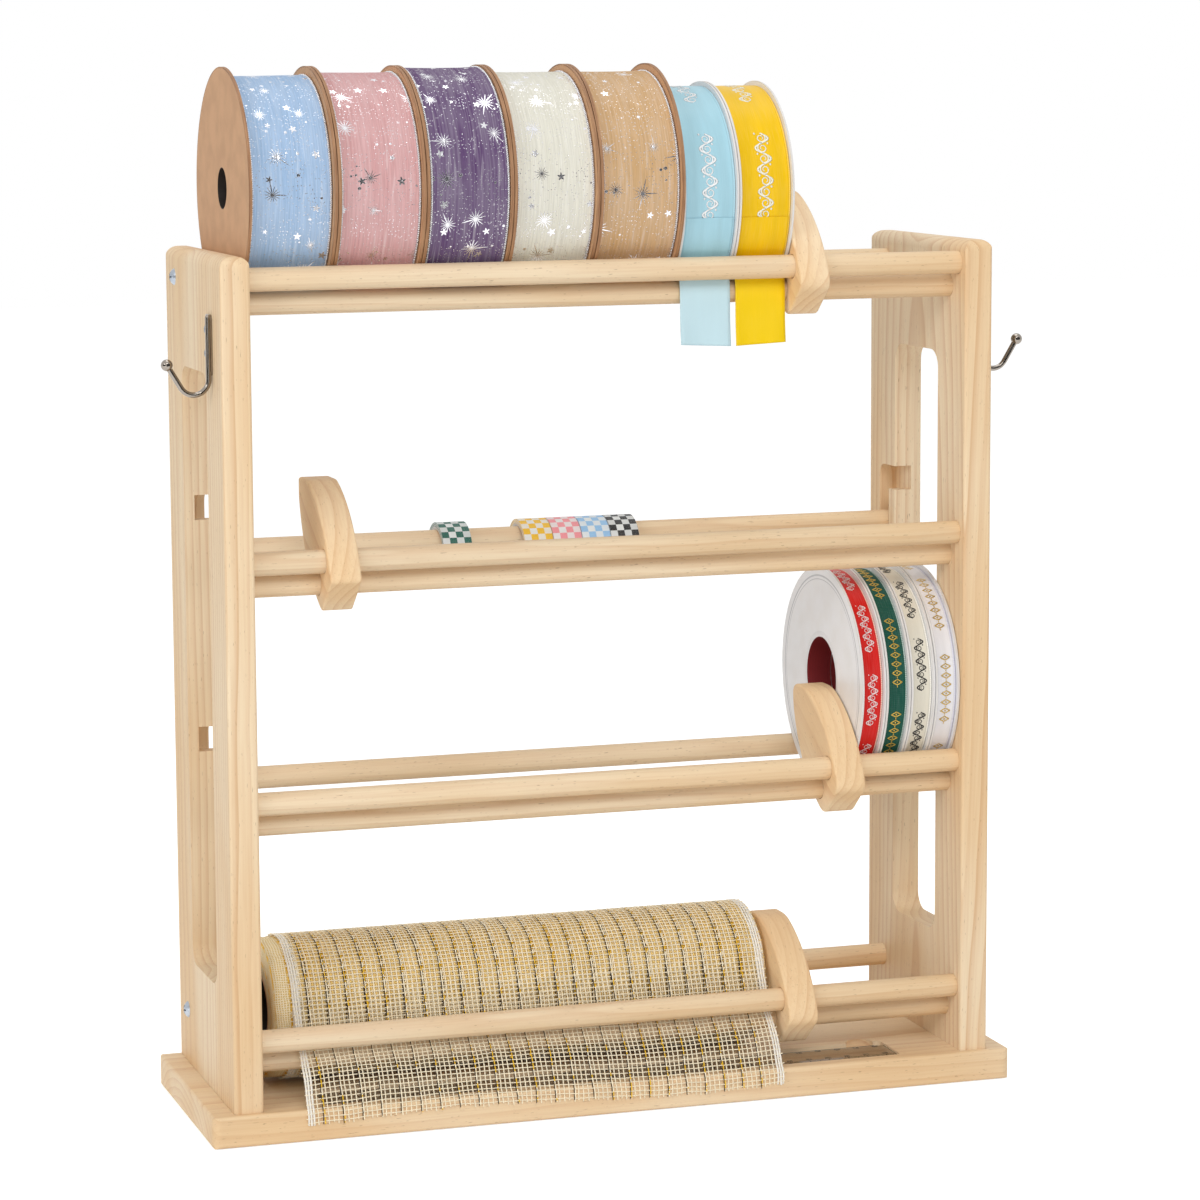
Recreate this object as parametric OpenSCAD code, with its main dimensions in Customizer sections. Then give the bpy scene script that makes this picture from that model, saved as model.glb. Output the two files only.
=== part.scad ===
// Ribbon spool dispenser: a pine rack of four tiers between two side panels.
// Each tier has a front rod, a lower rod close behind it and a rear rod. Reels rest on the
// front and rear rods, and their loose ends pass down between the front and lower rods.
// X runs along the rack, Y towards its back and Z up. The origin is the middle of the
// base board's underside. Tier 1 is the top tier.

/* [Base board] */
// Length of the base board
base_w = 400; // [396:2:440]
// Depth of the base board
base_d = 124; // [122:1:140]
// Thickness of the base board
base_t = 15; // [12:0.5:18]
// Radius of the board's corners seen from above
base_corner_r = 4; // [2:0.5:8]
// Radius of eased wooden edges
ease_r = 1.5; // [0.5:0.1:2]
// Depth of the grooves that the side panels stand in
groove_depth = 2; // [1:0.5:4]

/* [Side panels] */
// Height of the panels' top edge above the base board's underside
panel_h = 412; // [410:1:440]
// Thickness of each panel
panel_t = 14; // [12:0.5:18]
// Distance from the base board's end to the panel's outer face
panel_inset = 11; // [6:0.5:20]
// Distance from the base board's front to the panel's front edge
panel_setback = 3.5; // [2:0.5:8]
// Radius of the panel's rounded top edges and corners
panel_top_r = 5.5; // [3:0.5:6]

/* [Windows] */
// Wood left in front of and behind each window
window_side = 33; // [30:0.5:40]
// Wood left above each window
window_top = 55; // [45:1:80]
// Height of each window's lower edge above the base board
window_rise = 53; // [40:1:70]
// Corner radius of the windows
window_r = 9; // [5:0.5:14]

/* [Rods] */
// Diameter of every rod
rod_d = 11; // [10:0.5:12]
// Distance from the panel's front edge to the front rod's axis
front_inset = 9.5; // [9:0.5:12]
// Distance from the panel's rear edge to the rear rod's axis
rear_inset = 19.5; // [18:0.5:21]
// Distance of the lower rod behind the front rod
lower_back = 11; // [10.5:0.5:11.5]
// Distance of the lower rod below the front rod
lower_drop = 11.5; // [11.5:0.5:12.5]
// Distance of the top tier's front rod below the panel's top edge
top_rod_drop = 11; // [10:0.5:14]
// Height of the second tier's front rod above the base board's underside
tier_2_z = 270.5; // [266:0.5:276]
// Height of the third tier's front rod
tier_3_z = 158.5; // [154:0.5:162]
// Height of the bottom tier's front rod
tier_4_z = 46; // [44:0.5:48]
// Distance of the top rear rod below its front rod
top_rear_drop = 3; // [2:0.5:6]
// Distance of the other rear rods below their front rods
rear_drop = 4.8; // [3:0.1:6]
// Depth of the blind holes that hold the fixed rods
rod_seat = 8; // [6:0.5:9]
// Clearance round a rod that is glued in its hole
glue_gap = 0.1; // [0.05:0.05:0.2]

/* [Lift-out slots] */
// Width of the L-shaped slots in the panels' inner faces
slot_w = 12; // [11.8:0.1:13]
// Depth of the slots
slot_depth = 9; // [7:0.5:10]
// Height that a rear rod is lifted before it comes forward
lift = 23; // [21:0.5:26]
// Gap between a lift-out rod's end and the slot's bottom
rod_end_gap = 0.5; // [0.3:0.1:1]

/* [Dividers] */
// Thickness of a divider
divider_t = 15; // [12:0.5:18]
// Radius of the leaf outline's two arcs
leaf_r = 72.5; // [68:0.5:76]
// Distance from the leaf's middle line to each arc's centre
leaf_offset = 54.3; // [50:0.1:56]
// Height of the leaf's flat top above the front rod
leaf_top = 34.5; // [30:0.5:36]
// Radius of the leaf's rear top corner
leaf_corner_r = 7; // [4:0.5:8]
// Distance of the leaf's rear end behind the front rod's axis
leaf_back = 47.5; // [44:0.5:48]
// Distance from the front rod's axis to the flat cut below it
leaf_cut = 15; // [13:0.5:16.5]
// Slope of the flat cut
leaf_cut_angle = 50; // [45:1:55]
// Depth of the leaf's foot below the front rod's axis
leaf_foot = 24.5; // [22:0.5:26]
// Radius of the dividers' eased edges
leaf_ease = 1.2; // [0.5:0.1:2]
// Clearance between a rod and a divider's hole
slide_gap = 0.3; // [0.2:0.05:0.5]
// Gap between the top tier's divider and the reels beside it
divider_1_gap = 0.5; // [0.3:0.1:3]
// Distance of the second tier's divider from the left panel
divider_2_x = 34.5; // [2:0.5:120]
// Gap between the third tier's divider and the reels beside it
divider_3_gap = 0.4; // [0.3:0.1:3]
// Gap between the bottom tier's divider and the mesh roll
divider_4_gap = 0.5; // [0.3:0.1:3]

/* [Ruler] */
// Length of the ruler's recess
recess_w = 290; // [240:1:300]
// Width of the ruler's recess
recess_d = 26.5; // [20:0.5:30]
// Depth of the ruler's recess
recess_depth = 3; // [2:0.5:4]
// Distance from the base board's front to the recess
recess_front = 7; // [5:0.5:10]
// Corner radius of the recess
recess_r = 2; // [1:0.5:4]
// Radius of the finger notch behind the recess
notch_r = 7; // [5:0.5:9]
// Distance from the recess's right end to the notch
notch_inset = 11; // [9:0.5:30]
// Thickness of the ruler
ruler_t = 2.4; // [1.5:0.1:2.8]
// Gap between the ruler and its recess
ruler_gap = 0.4; // [0.2:0.1:0.8]
// Width of the ruler's slanted edge
ruler_bevel = 5; // [3:0.5:7]

/* [Coat hooks] */
// Distance of the hooks' top end below the panel's top edge
hook_drop = 27; // [17:1:32]
// Length of the hooks' screw plate
hook_plate_h = 28; // [24:1:32]
// Width of the hooks' screw plate
hook_plate_w = 8; // [7:0.5:10]
// Thickness of the hooks' screw plate
hook_plate_t = 1; // [0.8:0.1:1.6]
// Distance from the panel's front edge to the hook's wire
hook_y = 19; // [15:0.5:26]
// Diameter of the hooks' wire
wire_d = 2.6; // [2:0.1:3]
// Radius of the hooks' bend, to the wire's middle
bend_r = 7; // [6:0.5:9]
// Drop from the hook's top end to the bend's centre
bend_drop = 29.5; // [28:0.5:34]
// Angle at which the prong leans out
prong_lean = 31; // [15:1:40]
// Length of the straight prong up to its ball
prong_len = 10; // [6:0.5:14]
// Diameter of the ball on the prong
ball_d = 5.5; // [4:0.5:7]
// Distance of the upper hook screw below the plate's top end
hook_screw_drop = 7; // [6:0.5:9]
// Distance between the two hook screws
hook_screw_pitch = 11; // [9:0.5:13]

/* [Wall hangers] */
// Height of the hanger plates
hanger_h = 31; // [28:1:40]
// Width of the hanger plates
hanger_w = 10; // [9:0.5:12]
// Thickness of the hanger plates
hanger_t = 1.2; // [1:0.1:2]
// Corner radius of the hanger plates
hanger_r = 4; // [2:0.5:4]
// Distance of the hanger plates' middle below the panel's top edge
hanger_drop = 39; // [27:1:47]
// Distance of the hanger screws from the plates' ends
hanger_screw_inset = 3.5; // [3.5:0.5:4.5]
// Distance of the keyhole's round opening below the plate's middle
keyhole_drop = 1; // [0:0.5:2]
// Radius of the keyhole's round opening
keyhole_r = 3.2; // [3:0.1:3.5]
// Half width of the keyhole's slot
keyslot_r = 1.7; // [1.5:0.1:2]
// Length of the keyhole's slot
keyslot_len = 7; // [5:0.5:7.5]
// Depth of the pocket behind the keyhole
pocket_depth = 5; // [4:0.5:8]

/* [Screws] */
// Head diameter of the screws that hold the fixed rear rods
rod_screw_head = 8; // [7:0.5:9]
// Shank diameter of the rod screws
rod_screw_d = 3.6; // [3:0.1:4]
// Length of the rod screws' shanks
rod_screw_len = 28; // [20:1:35]
// Head diameter of the screws that hold the panels to the base board
base_screw_head = 8; // [7:0.5:9]
// Shank diameter of the base screws
base_screw_d = 4; // [3:0.1:4.5]
// Length of the base screws
base_screw_len = 32; // [26:1:34]
// Distance of the base screws from the panel's edges
base_screw_inset = 12; // [8:0.5:13]
// Head diameter of the small screws on hooks and hangers
small_head = 5.4; // [5:0.1:6]
// Shank diameter of the small screws
small_d = 2.4; // [2:0.1:3]
// Length of the small screws' shanks
small_len = 9; // [7:0.5:10]
// Clearance between a screw's shank and the wood
screw_gap = 0.05; // [0.02:0.01:0.1]

/* [Wide reels] */
// Width of the wired ribbon
wide_ribbon_w = 38; // [34:0.5:39]
// Radius of the card flanges
wide_flange_r = 56; // [54:0.5:58]
// Thickness of the card flanges
wide_flange_t = 1.5; // [1:0.1:1.8]
// Radius of the wound ribbon on the reel that holds least
wide_wound_r = 52; // [48:0.5:53]
// Outer radius of the hub
wide_hub_r = 13; // [11.5:0.5:16]
// Radius of the hub's bore
wide_bore_r = 9.5; // [8:0.5:10]
// Gap between neighbouring reels
reel_gap = 0.35; // [0.3:0.05:0.8]

/* [Satin reels] */
// Width of the satin ribbon
satin_ribbon_w = 25; // [22:0.5:26]
// Radius of the satin reels' flanges
satin_flange_r = 52.5; // [51:0.5:54]
// Thickness of the satin reels' flanges
satin_flange_t = 1; // [0.8:0.1:1.2]
// Radius of the wound satin ribbon
satin_wound_r = 50.4; // [49:0.1:50.4]
// Outer radius of the satin reels' hub
satin_hub_r = 19; // [18:0.5:22]
// Radius of the satin reels' bore
satin_bore_r = 17; // [15:0.5:17]
// Length of the satin tails below the front rod's axis
tail_drop = 37; // [30:1:60]
// Thickness of the tails
tail_t = 0.5; // [0.4:0.1:0.6]

/* [Narrow reels] */
// Width of the narrow ribbon
narrow_ribbon_w = 10; // [9:0.5:10]
// Radius of the narrow reels' flanges
narrow_flange_r = 54.5; // [52:0.5:55]
// Thickness of the narrow reels' flanges
narrow_flange_t = 1; // [0.8:0.1:1.1]
// Radius of the wound narrow ribbon
narrow_wound_r = 52.5; // [50:0.5:53]
// Outer radius of the narrow reels' hub
narrow_hub_r = 21.5; // [21:0.5:24]
// Radius of the narrow reels' bore
narrow_bore_r = 19.5; // [17:0.5:20]

/* [Tape rolls] */
// Width of a tape roll
tape_w = 14.5; // [12:0.5:15]
// Radius of a tape roll's bore
tape_bore_r = 12.7; // [12:0.1:14]
// Wound thickness of a tape roll with its card core
tape_wall = 3.3; // [2.5:0.1:4.5]
// Thickness of a tape roll's card core
tape_core_t = 1; // [0.8:0.1:1.4]
// Distance of the card core in from the tape's sides
tape_core_inset = 0.2; // [0.1:0.1:0.5]
// Left side of the single tape roll, from the left panel
tape_single_x = 113.8; // [60:0.1:120]
// Left side of the first of the four tape rolls, from the left panel
tape_group_x = 155.2; // [150:0.1:200]

/* [Mesh roll] */
// Room left between the mesh roll and the rear rod behind it
mesh_room = 3.6; // [2:0.1:6]
// Length of the mesh roll
mesh_w = 247; // [220:1:248]
// Distance of the mesh roll from the left panel
mesh_x = 12; // [4:0.5:14]
// Distance of the roll's outer layer in from its left end
mesh_step = 10; // [2:0.5:20]
// Thickness of the outer layer
mesh_layer = 1; // [0.5:0.1:2]
// Outer radius of the mesh roll's core
core_r = 17; // [14:0.5:20]
// Wall of the mesh roll's core
core_wall = 1.5; // [1:0.1:2.5]
// Running gap below the mesh roll and beside the rod in front of it
roll_gap = 0.4; // [0.3:0.1:0.8]
// Distance of the loose mesh's edges in from the roll's ends
net_inset = 3.5; // [1:0.5:20]
// Thickness of the loose mesh
net_t = 0.8; // [0.6:0.1:1]
// Gaps across the loose mesh
net_cols = 24; // [12:1:30]
// Gaps along the loose mesh
net_rows = 9; // [6:1:10]
// Width of the mesh's threads in the solid
net_bar = 2.2; // [1.5:0.1:3]
// Height of the loose mesh's waves
net_wave = 1.2; // [0:0.1:2]
// Number of waves across the loose mesh
net_waves = 2.5; // [1:0.5:5]
// Drop of the mesh's cut end below the base board's top
net_droop = 9; // [5:0.5:11]

/* [Hidden] */
$fn = 96;

// colours
PINE = [0.90, 0.76, 0.58];
END_GRAIN = [0.86, 0.72, 0.55];
KRAFT = [0.72, 0.54, 0.38];
CARD = [0.95, 0.95, 0.94];
STEEL = [0.78, 0.78, 0.80];
ACRYLIC = [0.88, 0.93, 0.95, 0.5];
WIDE_COLOURS = [[0.62, 0.74, 0.90], [0.85, 0.62, 0.66], [0.36, 0.24, 0.42],
                [0.91, 0.90, 0.83], [0.79, 0.62, 0.42]];
SATIN_COLOURS = [[0.55, 0.82, 0.88], [0.98, 0.80, 0.05]];
NARROW_COLOURS = [[0.85, 0.10, 0.08], [0.05, 0.33, 0.27], [0.90, 0.86, 0.76], [0.93, 0.93, 0.93]];
TAPE_COLOURS = [[0.07, 0.28, 0.25], [0.93, 0.75, 0.35], [0.93, 0.60, 0.66],
                [0.60, 0.74, 0.90], [0.12, 0.12, 0.13]];
MESH = [0.90, 0.80, 0.55];

// small amount by which a cut runs past the face it opens
over = 1;
// depth of the base screws' heads above the board's underside
head_sink = 0.3;
// depth to which the hook's prong enters its ball
ball_sink = 0.4;
// the prong starts inside the bend's end and is this much thicker than the bend
prong_start = 0.5;
prong_more = 0.1;
// screw heads: height, reach, half width and floor of the cross, as shares of the diameter
dome_rise = 0.28;
cross_reach = 0.28;
cross_half = 0.05;
cross_floor = 0.13;
rod_r = rod_d / 2;
slot_r = slot_w / 2;

// panels
outer_x = base_w / 2 - panel_inset;
inner_x = outer_x - panel_t;
panel_front = -base_d / 2 + panel_setback;
panel_rear = base_d / 2;
panel_d = panel_rear - panel_front;
panel_foot = base_t - groove_depth;
window_front = panel_front + window_side;
window_rear = panel_rear - window_side;
window_low = base_t + window_rise;
window_high = panel_h - window_top;

// rods, by tier
tier_z = [panel_h - top_rod_drop, tier_2_z, tier_3_z, tier_4_z];
rear_z = [tier_z[0] - top_rear_drop, tier_2_z - rear_drop, tier_3_z - rear_drop, tier_4_z - rear_drop];
front_y = panel_front + front_inset;
lower_y = front_y + lower_back;
rear_y = panel_rear - rear_inset;
fixed_half = inner_x + rod_seat - glue_gap;
loose_half = inner_x + slot_depth - rod_end_gap;

// a reel of radius r rests rest_gap above the front and rear rods of a tier
rest_gap = 0.3;
function span(t) = norm([rear_y - front_y, rear_z[t] - tier_z[t]]);
function seat_rise(t, r) = sqrt(pow(r + rod_r + rest_gap, 2) - pow(span(t) / 2, 2));
function seat(t, r) =
    [(front_y + rear_y) / 2, (tier_z[t] + rear_z[t]) / 2]
    + seat_rise(t, r) / span(t) * [tier_z[t] - rear_z[t], rear_y - front_y];

// reels stand side by side: left sides of each
wound_gap = 0.2;
hub_gap = 0.1;
wide_more = [0, 1, 3, 0.5, 0.5]; // how much further each wide ribbon is wound
wide_w = wide_ribbon_w + 2 * (wide_flange_t + wound_gap);
satin_w = satin_ribbon_w + 2 * (satin_flange_t + wound_gap);
narrow_w = narrow_ribbon_w + 2 * (narrow_flange_t + wound_gap);
function wide_x(i) = -inner_x + reel_gap + i * (wide_w + reel_gap);
function satin_x(i) = wide_x(5) + i * (satin_w + reel_gap);
function narrow_x(i) = inner_x - (4 - i) * (narrow_w + reel_gap);
function tape_x(i) = -inner_x + (i == 0 ? tape_single_x : tape_group_x + (i - 1) * (tape_w + reel_gap));
wide_seat = seat(0, wide_flange_r);
satin_seat = seat(0, satin_flange_r);
narrow_seat = seat(2, narrow_flange_r);

// tape rolls hang on the second tier's rear rod
tape_r = tape_bore_r + tape_wall;
tape_centre = [rear_y, rear_z[1] + rod_r + rest_gap - tape_bore_r];

// The mesh roll lies on the base board against the lower rod and leaves room before the rear
// rod, which sets its radius. A rod whose axis stands "up" above the roll's lowest point and
// lies "reach" from the roll's surface is sqrt((reach + up) * (2 * radius + reach - up)) from
// the roll's axis along Y, and the two such distances add up to the span between the rods.
roll_low = base_t + roll_gap;
lower_reach = rod_r + roll_gap;
rear_reach = rod_r + mesh_room;
lower_up = tier_4_z - lower_drop - roll_low;
rear_up = rear_z[3] - roll_low;
roll_span = rear_y - lower_y;
roll_ratio = (rear_reach + rear_up) / (lower_reach + lower_up);
roll_rest = pow(roll_span, 2)
    - (rear_reach + rear_up) * (rear_reach - rear_up - lower_reach + lower_up);
roll_step = roll_rest / (roll_span + sqrt(pow(roll_span, 2) + (roll_ratio - 1) * roll_rest));
mesh_r = (pow(roll_step, 2) / (lower_reach + lower_up) - lower_reach + lower_up) / 2;
mesh_y = lower_y + roll_step;
mesh_z = roll_low + mesh_r;
mesh_left = -inner_x + mesh_x;

divider_x = [
    satin_x(2) - reel_gap + divider_1_gap,
    -inner_x + divider_2_x,
    narrow_x(0) - divider_3_gap - divider_t,
    mesh_left + mesh_w + divider_4_gap
];

// hooks and hangers
hook_line = panel_front + hook_y;
hook_top = panel_h - hook_drop;
hanger_z = panel_h - hanger_drop;
hook_screw_y = hook_line + hook_plate_w / 2 + wire_d / 2;
hook_screws_z = [for (i = [0, 1]) hook_top - hook_screw_drop - i * hook_screw_pitch];
hanger_screws_z = [for (side = [-1, 1]) hanger_z + side * (hanger_h / 2 - hanger_screw_inset)];
keyhole_z = hanger_z - keyhole_drop;
panel_x = inner_x + panel_t / 2;
base_screws_y = [panel_front + base_screw_inset, panel_rear - base_screw_inset];

recess_y = -base_d / 2 + recess_front + recess_d / 2;

// ---- helpers ----

// rectangle centred on the origin with round corners, which leave a flat between them
module round_rect(size, corner) {
    r = min(corner, 0.48 * min(size));
    square([size[0] - 2 * r, size[1]], center = true);
    square([size[0], size[1] - 2 * r], center = true);
    for (x = [-1, 1], y = [-1, 1])
        translate([x * (size[0] / 2 - r), y * (size[1] / 2 - r)]) circle(r = r);
}

// upright slot with round ends, from the centre of its lower end
module upright_slot(low, length, r) {
    for (rise = [0, length]) translate(low + [0, rise]) circle(r = r);
    translate(low - [r, 0]) square([2 * r, length]);
}

// the same between two corners
module round_box(low, high, r) {
    translate((low + high) / 2) round_rect(high - low, r);
}

// extrudes an outline drawn in Y and Z along X, from x to x + length
module along_x(x, length) {
    translate([x, 0, 0]) rotate([90, 0, 90]) linear_extrude(length) children();
}

// extrudes an outline drawn in X and Z along Y, between two values of Y
module along_y(y0, y1) {
    translate([0, y1, 0]) rotate([90, 0, 0]) linear_extrude(y1 - y0) children();
}

// a cylinder whose axis runs along X through the point yz
module rod_at(yz, x0, x1, r) {
    along_x(x0, x1 - x0) translate(yz) circle(r = r);
}

// turns a profile drawn as [along X, radius] about the line through yz along X
module turned(x, yz) {
    translate([x, yz[0], yz[1]]) rotate([90, 0, 90])
        rotate_extrude() mirror([1, -1]) children();
}

module mirrored() {
    children();
    mirror([1, 0, 0]) children();
}

// ---- wood ----

module base_board() {
    color(PINE) difference() {
        intersection() {
            linear_extrude(base_t) round_rect([base_w, base_d], base_corner_r);
            along_x(-base_w / 2, base_w) round_box([-base_d / 2, 0], [base_d / 2, base_t], ease_r);
            along_y(-base_d / 2, base_d / 2)
                round_box([-base_w / 2, 0], [base_w / 2, base_t], ease_r);
        }
        mirrored() {
            // groove for the panel's foot, open at the back
            translate([inner_x - glue_gap, panel_front - glue_gap, panel_foot])
                cube([panel_t + 2 * glue_gap, panel_d + over, groove_depth + over]);
            for (y = base_screws_y) base_screw_at(y, screw_gap);
        }
        // ruler recess and its finger notch
        translate([0, recess_y, base_t - recess_depth])
            linear_extrude(recess_depth + over) round_rect([recess_w, recess_d], recess_r);
        translate([recess_w / 2 - notch_inset, recess_y + recess_d / 2, base_t - recess_depth])
            cylinder(r = notch_r, h = recess_depth + over);
    }
}

// right side panel, with its window, blind holes and lift-out slots
module panel() {
    difference() {
        intersection() {
            along_x(inner_x, panel_t) difference() {
                union() {
                    translate([panel_front, panel_foot])
                        square([panel_d, panel_h - panel_top_r - panel_foot]);
                    round_box([panel_front, panel_foot], [panel_rear, panel_h], panel_top_r);
                }
                round_box([window_front, window_low], [window_rear, window_high], window_r);
            }
            along_y(panel_front, panel_rear) union() {
                translate([inner_x, panel_foot])
                    square([panel_t, panel_h - panel_top_r - panel_foot]);
                round_box([inner_x, panel_foot], [outer_x, panel_h], panel_top_r);
            }
            translate([0, 0, panel_foot]) linear_extrude(panel_h)
                round_box([inner_x, panel_front], [outer_x, panel_rear], ease_r);
        }
        for (t = [0:3]) {
            blind_hole([front_y, tier_z[t]]);
            blind_hole([lower_y, tier_z[t] - lower_drop]);
        }
        for (t = [0, 3]) {
            blind_hole([rear_y, rear_z[t]]);
            rod_screw_at(rear_z[t], screw_gap);
        }
        for (t = [1, 2]) lift_slot(rear_z[t]);
        for (y = base_screws_y) base_screw_at(y, screw_gap);
        for (z = hook_screws_z) hook_screw_at(z, screw_gap);
        for (z = hanger_screws_z) hanger_screw_at(z, screw_gap);
        // pocket for a wall screw's head behind the hanger plate
        along_y(panel_rear - pocket_depth, panel_rear + over)
            upright_slot([panel_x, keyhole_z], keyslot_len, keyhole_r);
    }
}

module blind_hole(yz) {
    rod_at(yz, inner_x - over, inner_x + rod_seat, rod_r + glue_gap);
}

// a rod rests at the foot of the leg, is lifted to its top and comes forward into the window
module lift_slot(z) {
    along_x(inner_x - over, slot_depth + over) {
        upright_slot([rear_y, z], lift, slot_r);
        translate([window_rear - over, z + lift - slot_r])
            square([rear_y - window_rear + over, slot_w]);
    }
}

module left_panel() {
    color(PINE) mirror([1, 0, 0]) panel();
}

module right_panel() {
    color(PINE) panel();
}

module front_rod(tier) {
    color(PINE) rod_at([front_y, tier_z[tier - 1]], -fixed_half, fixed_half, rod_r);
}

module lower_rod(tier) {
    color(PINE) rod_at([lower_y, tier_z[tier - 1] - lower_drop], -fixed_half, fixed_half, rod_r);
}

module fixed_rear_rod(tier) {
    z = rear_z[tier - 1];
    color(PINE) difference() {
        rod_at([rear_y, z], -fixed_half, fixed_half, rod_r);
        mirrored() rod_screw_at(z, screw_gap);
    }
}

module loose_rear_rod(tier) {
    color(PINE) rod_at([rear_y, rear_z[tier - 1]], -loose_half, loose_half, rod_r);
}

// a disc of thickness divider_t along Z, with eased rims
module eased_disc(r) {
    rotate_extrude($fn = 180) {
        translate([0, leaf_ease]) square([r, divider_t - 2 * leaf_ease]);
        square([r - leaf_ease, divider_t]);
        for (z = [leaf_ease, divider_t - leaf_ease]) translate([r - leaf_ease, z])
            intersection() {
                circle(r = leaf_ease, $fn = 24);
                translate([-r + leaf_ease, -leaf_ease]) square([r, 2 * leaf_ease]);
            }
    }
}

// A divider about the front rod's axis, with its thickness along Z: two arcs that lean back,
// a flat top, a round rear corner, a flat foot and a flat cut below the rod.
leaf_mid = [15.5, 4];
leaf_lean = 45;
module leaf() {
    arc_shift = leaf_offset * [sin(leaf_lean), -cos(leaf_lean)];
    difference() {
        intersection() {
            translate(leaf_mid + arc_shift) eased_disc(leaf_r);
            translate(leaf_mid - arc_shift) eased_disc(leaf_r);
            linear_extrude(divider_t) intersection() {
                round_box([-leaf_r, -leaf_foot - leaf_corner_r], [leaf_back, leaf_top], leaf_corner_r);
                translate([-leaf_r, -leaf_foot]) square(2 * leaf_r);
            }
        }
        rotate(leaf_cut_angle - 180) translate([leaf_cut, -leaf_r, -over])
            cube([leaf_r, 2 * leaf_r, divider_t + 2 * over]);
    }
}

module divider(tier) {
    x = divider_x[tier - 1];
    z = tier_z[tier - 1];
    color(END_GRAIN) difference() {
        translate([x, front_y, z]) rotate([90, 0, 90]) leaf();
        rod_at([front_y, z], x - over, x + divider_t + over, rod_r + slide_gap);
        rod_at([lower_y, z - lower_drop], x - over, x + divider_t + over, rod_r + slide_gap);
    }
}

// ---- ruler, hooks, hangers and screws ----

module ruler() {
    w = recess_w - 2 * ruler_gap;
    d = recess_d - 2 * ruler_gap;
    color(ACRYLIC) translate([0, recess_y, base_t - recess_depth]) intersection() {
        linear_extrude(ruler_t) round_rect([w, d], recess_r);
        // both long edges slope down to a thin edge
        along_x(-w / 2, w) polygon([
            [-d / 2, 0], [d / 2, 0], [d / 2, ruler_t / 2], [d / 2 - ruler_bevel, ruler_t],
            [-d / 2 + ruler_bevel, ruler_t], [-d / 2, ruler_t / 2]]);
    }
}

// right hook: a plate with two screws and a wire that bends out and ends in a ball
module hook() {
    bend_z = hook_top - bend_drop;
    wire_x = outer_x + (hook_plate_t + wire_d) / 2;
    color(STEEL) {
        difference() {
            along_x(outer_x, hook_plate_t)
                round_box([hook_line - wire_d / 2, hook_top - hook_plate_h],
                          [hook_line + wire_d / 2 + hook_plate_w, hook_top], wire_d);
            for (z = hook_screws_z)
                rod_at([hook_screw_y, z], outer_x - over, outer_x + hook_plate_t + over,
                       small_d / 2 + screw_gap);
        }
        translate([wire_x, hook_line, bend_z]) cylinder(d = wire_d, h = bend_drop - wire_d / 2);
        translate([wire_x, hook_line, hook_top - wire_d / 2]) sphere(d = wire_d);
        translate([wire_x + bend_r, hook_line, bend_z]) rotate([90, 0, 0]) rotate([0, 0, 180])
            rotate_extrude(angle = 180 - prong_lean) translate([bend_r, 0]) circle(d = wire_d);
        translate([wire_x + bend_r, hook_line, bend_z]) rotate([0, prong_lean, 0])
            translate([bend_r, 0, -prong_start]) {
                cylinder(d = wire_d + prong_more, h = prong_start + prong_len);
                translate([0, 0, prong_start + prong_len + ball_d / 2 - ball_sink])
                    sphere(d = ball_d);
            }
    }
}

module left_hook() {
    mirror([1, 0, 0]) hook();
}

module right_hook() {
    hook();
}

// a domed screw head of diameter d on the plane z = 0, with a cross recess
module dome_head(d) {
    rise = d * dome_rise;
    dome_r = (d * d / 4 + rise * rise) / (2 * rise);
    difference() {
        rotate_extrude() intersection() {
            translate([0, rise - dome_r]) circle(r = dome_r);
            square([d / 2, rise]);
        }
        for (a = [0, 90]) rotate(a) translate(d * [-cross_reach, -cross_half, cross_floor])
            cube(d * [2 * cross_reach, 2 * cross_half, dome_rise]);
    }
}

// a screw with its head on the plane z = 0 and its shank down, or the hole for it
module dome_screw(head, d, length, gap) {
    translate([0, 0, -length]) cylinder(d = d + 2 * gap, h = length + (gap > 0 ? over : 0));
    if (gap == 0) dome_head(head);
}

module rod_screw_at(z, gap) {
    translate([outer_x, rear_y, z]) rotate([0, 90, 0])
        dome_screw(rod_screw_head, rod_screw_d, rod_screw_len, gap);
}

module hook_screw_at(z, gap) {
    translate([outer_x + hook_plate_t, hook_screw_y, z]) rotate([0, 90, 0])
        dome_screw(small_head, small_d, small_len, gap);
}

module hanger_screw_at(z, gap) {
    translate([panel_x, panel_rear + hanger_t, z]) rotate([-90, 0, 0])
        dome_screw(small_head, small_d, small_len, gap);
}

// countersunk screw up through the base board into the panel
module base_screw_at(y, gap) {
    shank_r = base_screw_d / 2 + gap;
    head_r = base_screw_head / 2 + gap;
    translate([panel_x, y, head_sink]) {
        cylinder(r = shank_r, h = base_screw_len + gap);
        cylinder(r1 = head_r, r2 = shank_r, h = head_r - shank_r);
        if (gap > 0) translate([0, 0, -head_sink - over]) cylinder(r = head_r, h = head_sink + over);
    }
}

module rod_screws() {
    color(STEEL) mirrored() for (t = [0, 3]) rod_screw_at(rear_z[t], 0);
}

module hook_screws() {
    color(STEEL) mirrored() for (z = hook_screws_z) hook_screw_at(z, 0);
}

module hanger_screws() {
    color(STEEL) mirrored() for (z = hanger_screws_z) hanger_screw_at(z, 0);
}

module base_screws() {
    color(STEEL) mirrored() for (y = base_screws_y) base_screw_at(y, 0);
}

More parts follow.
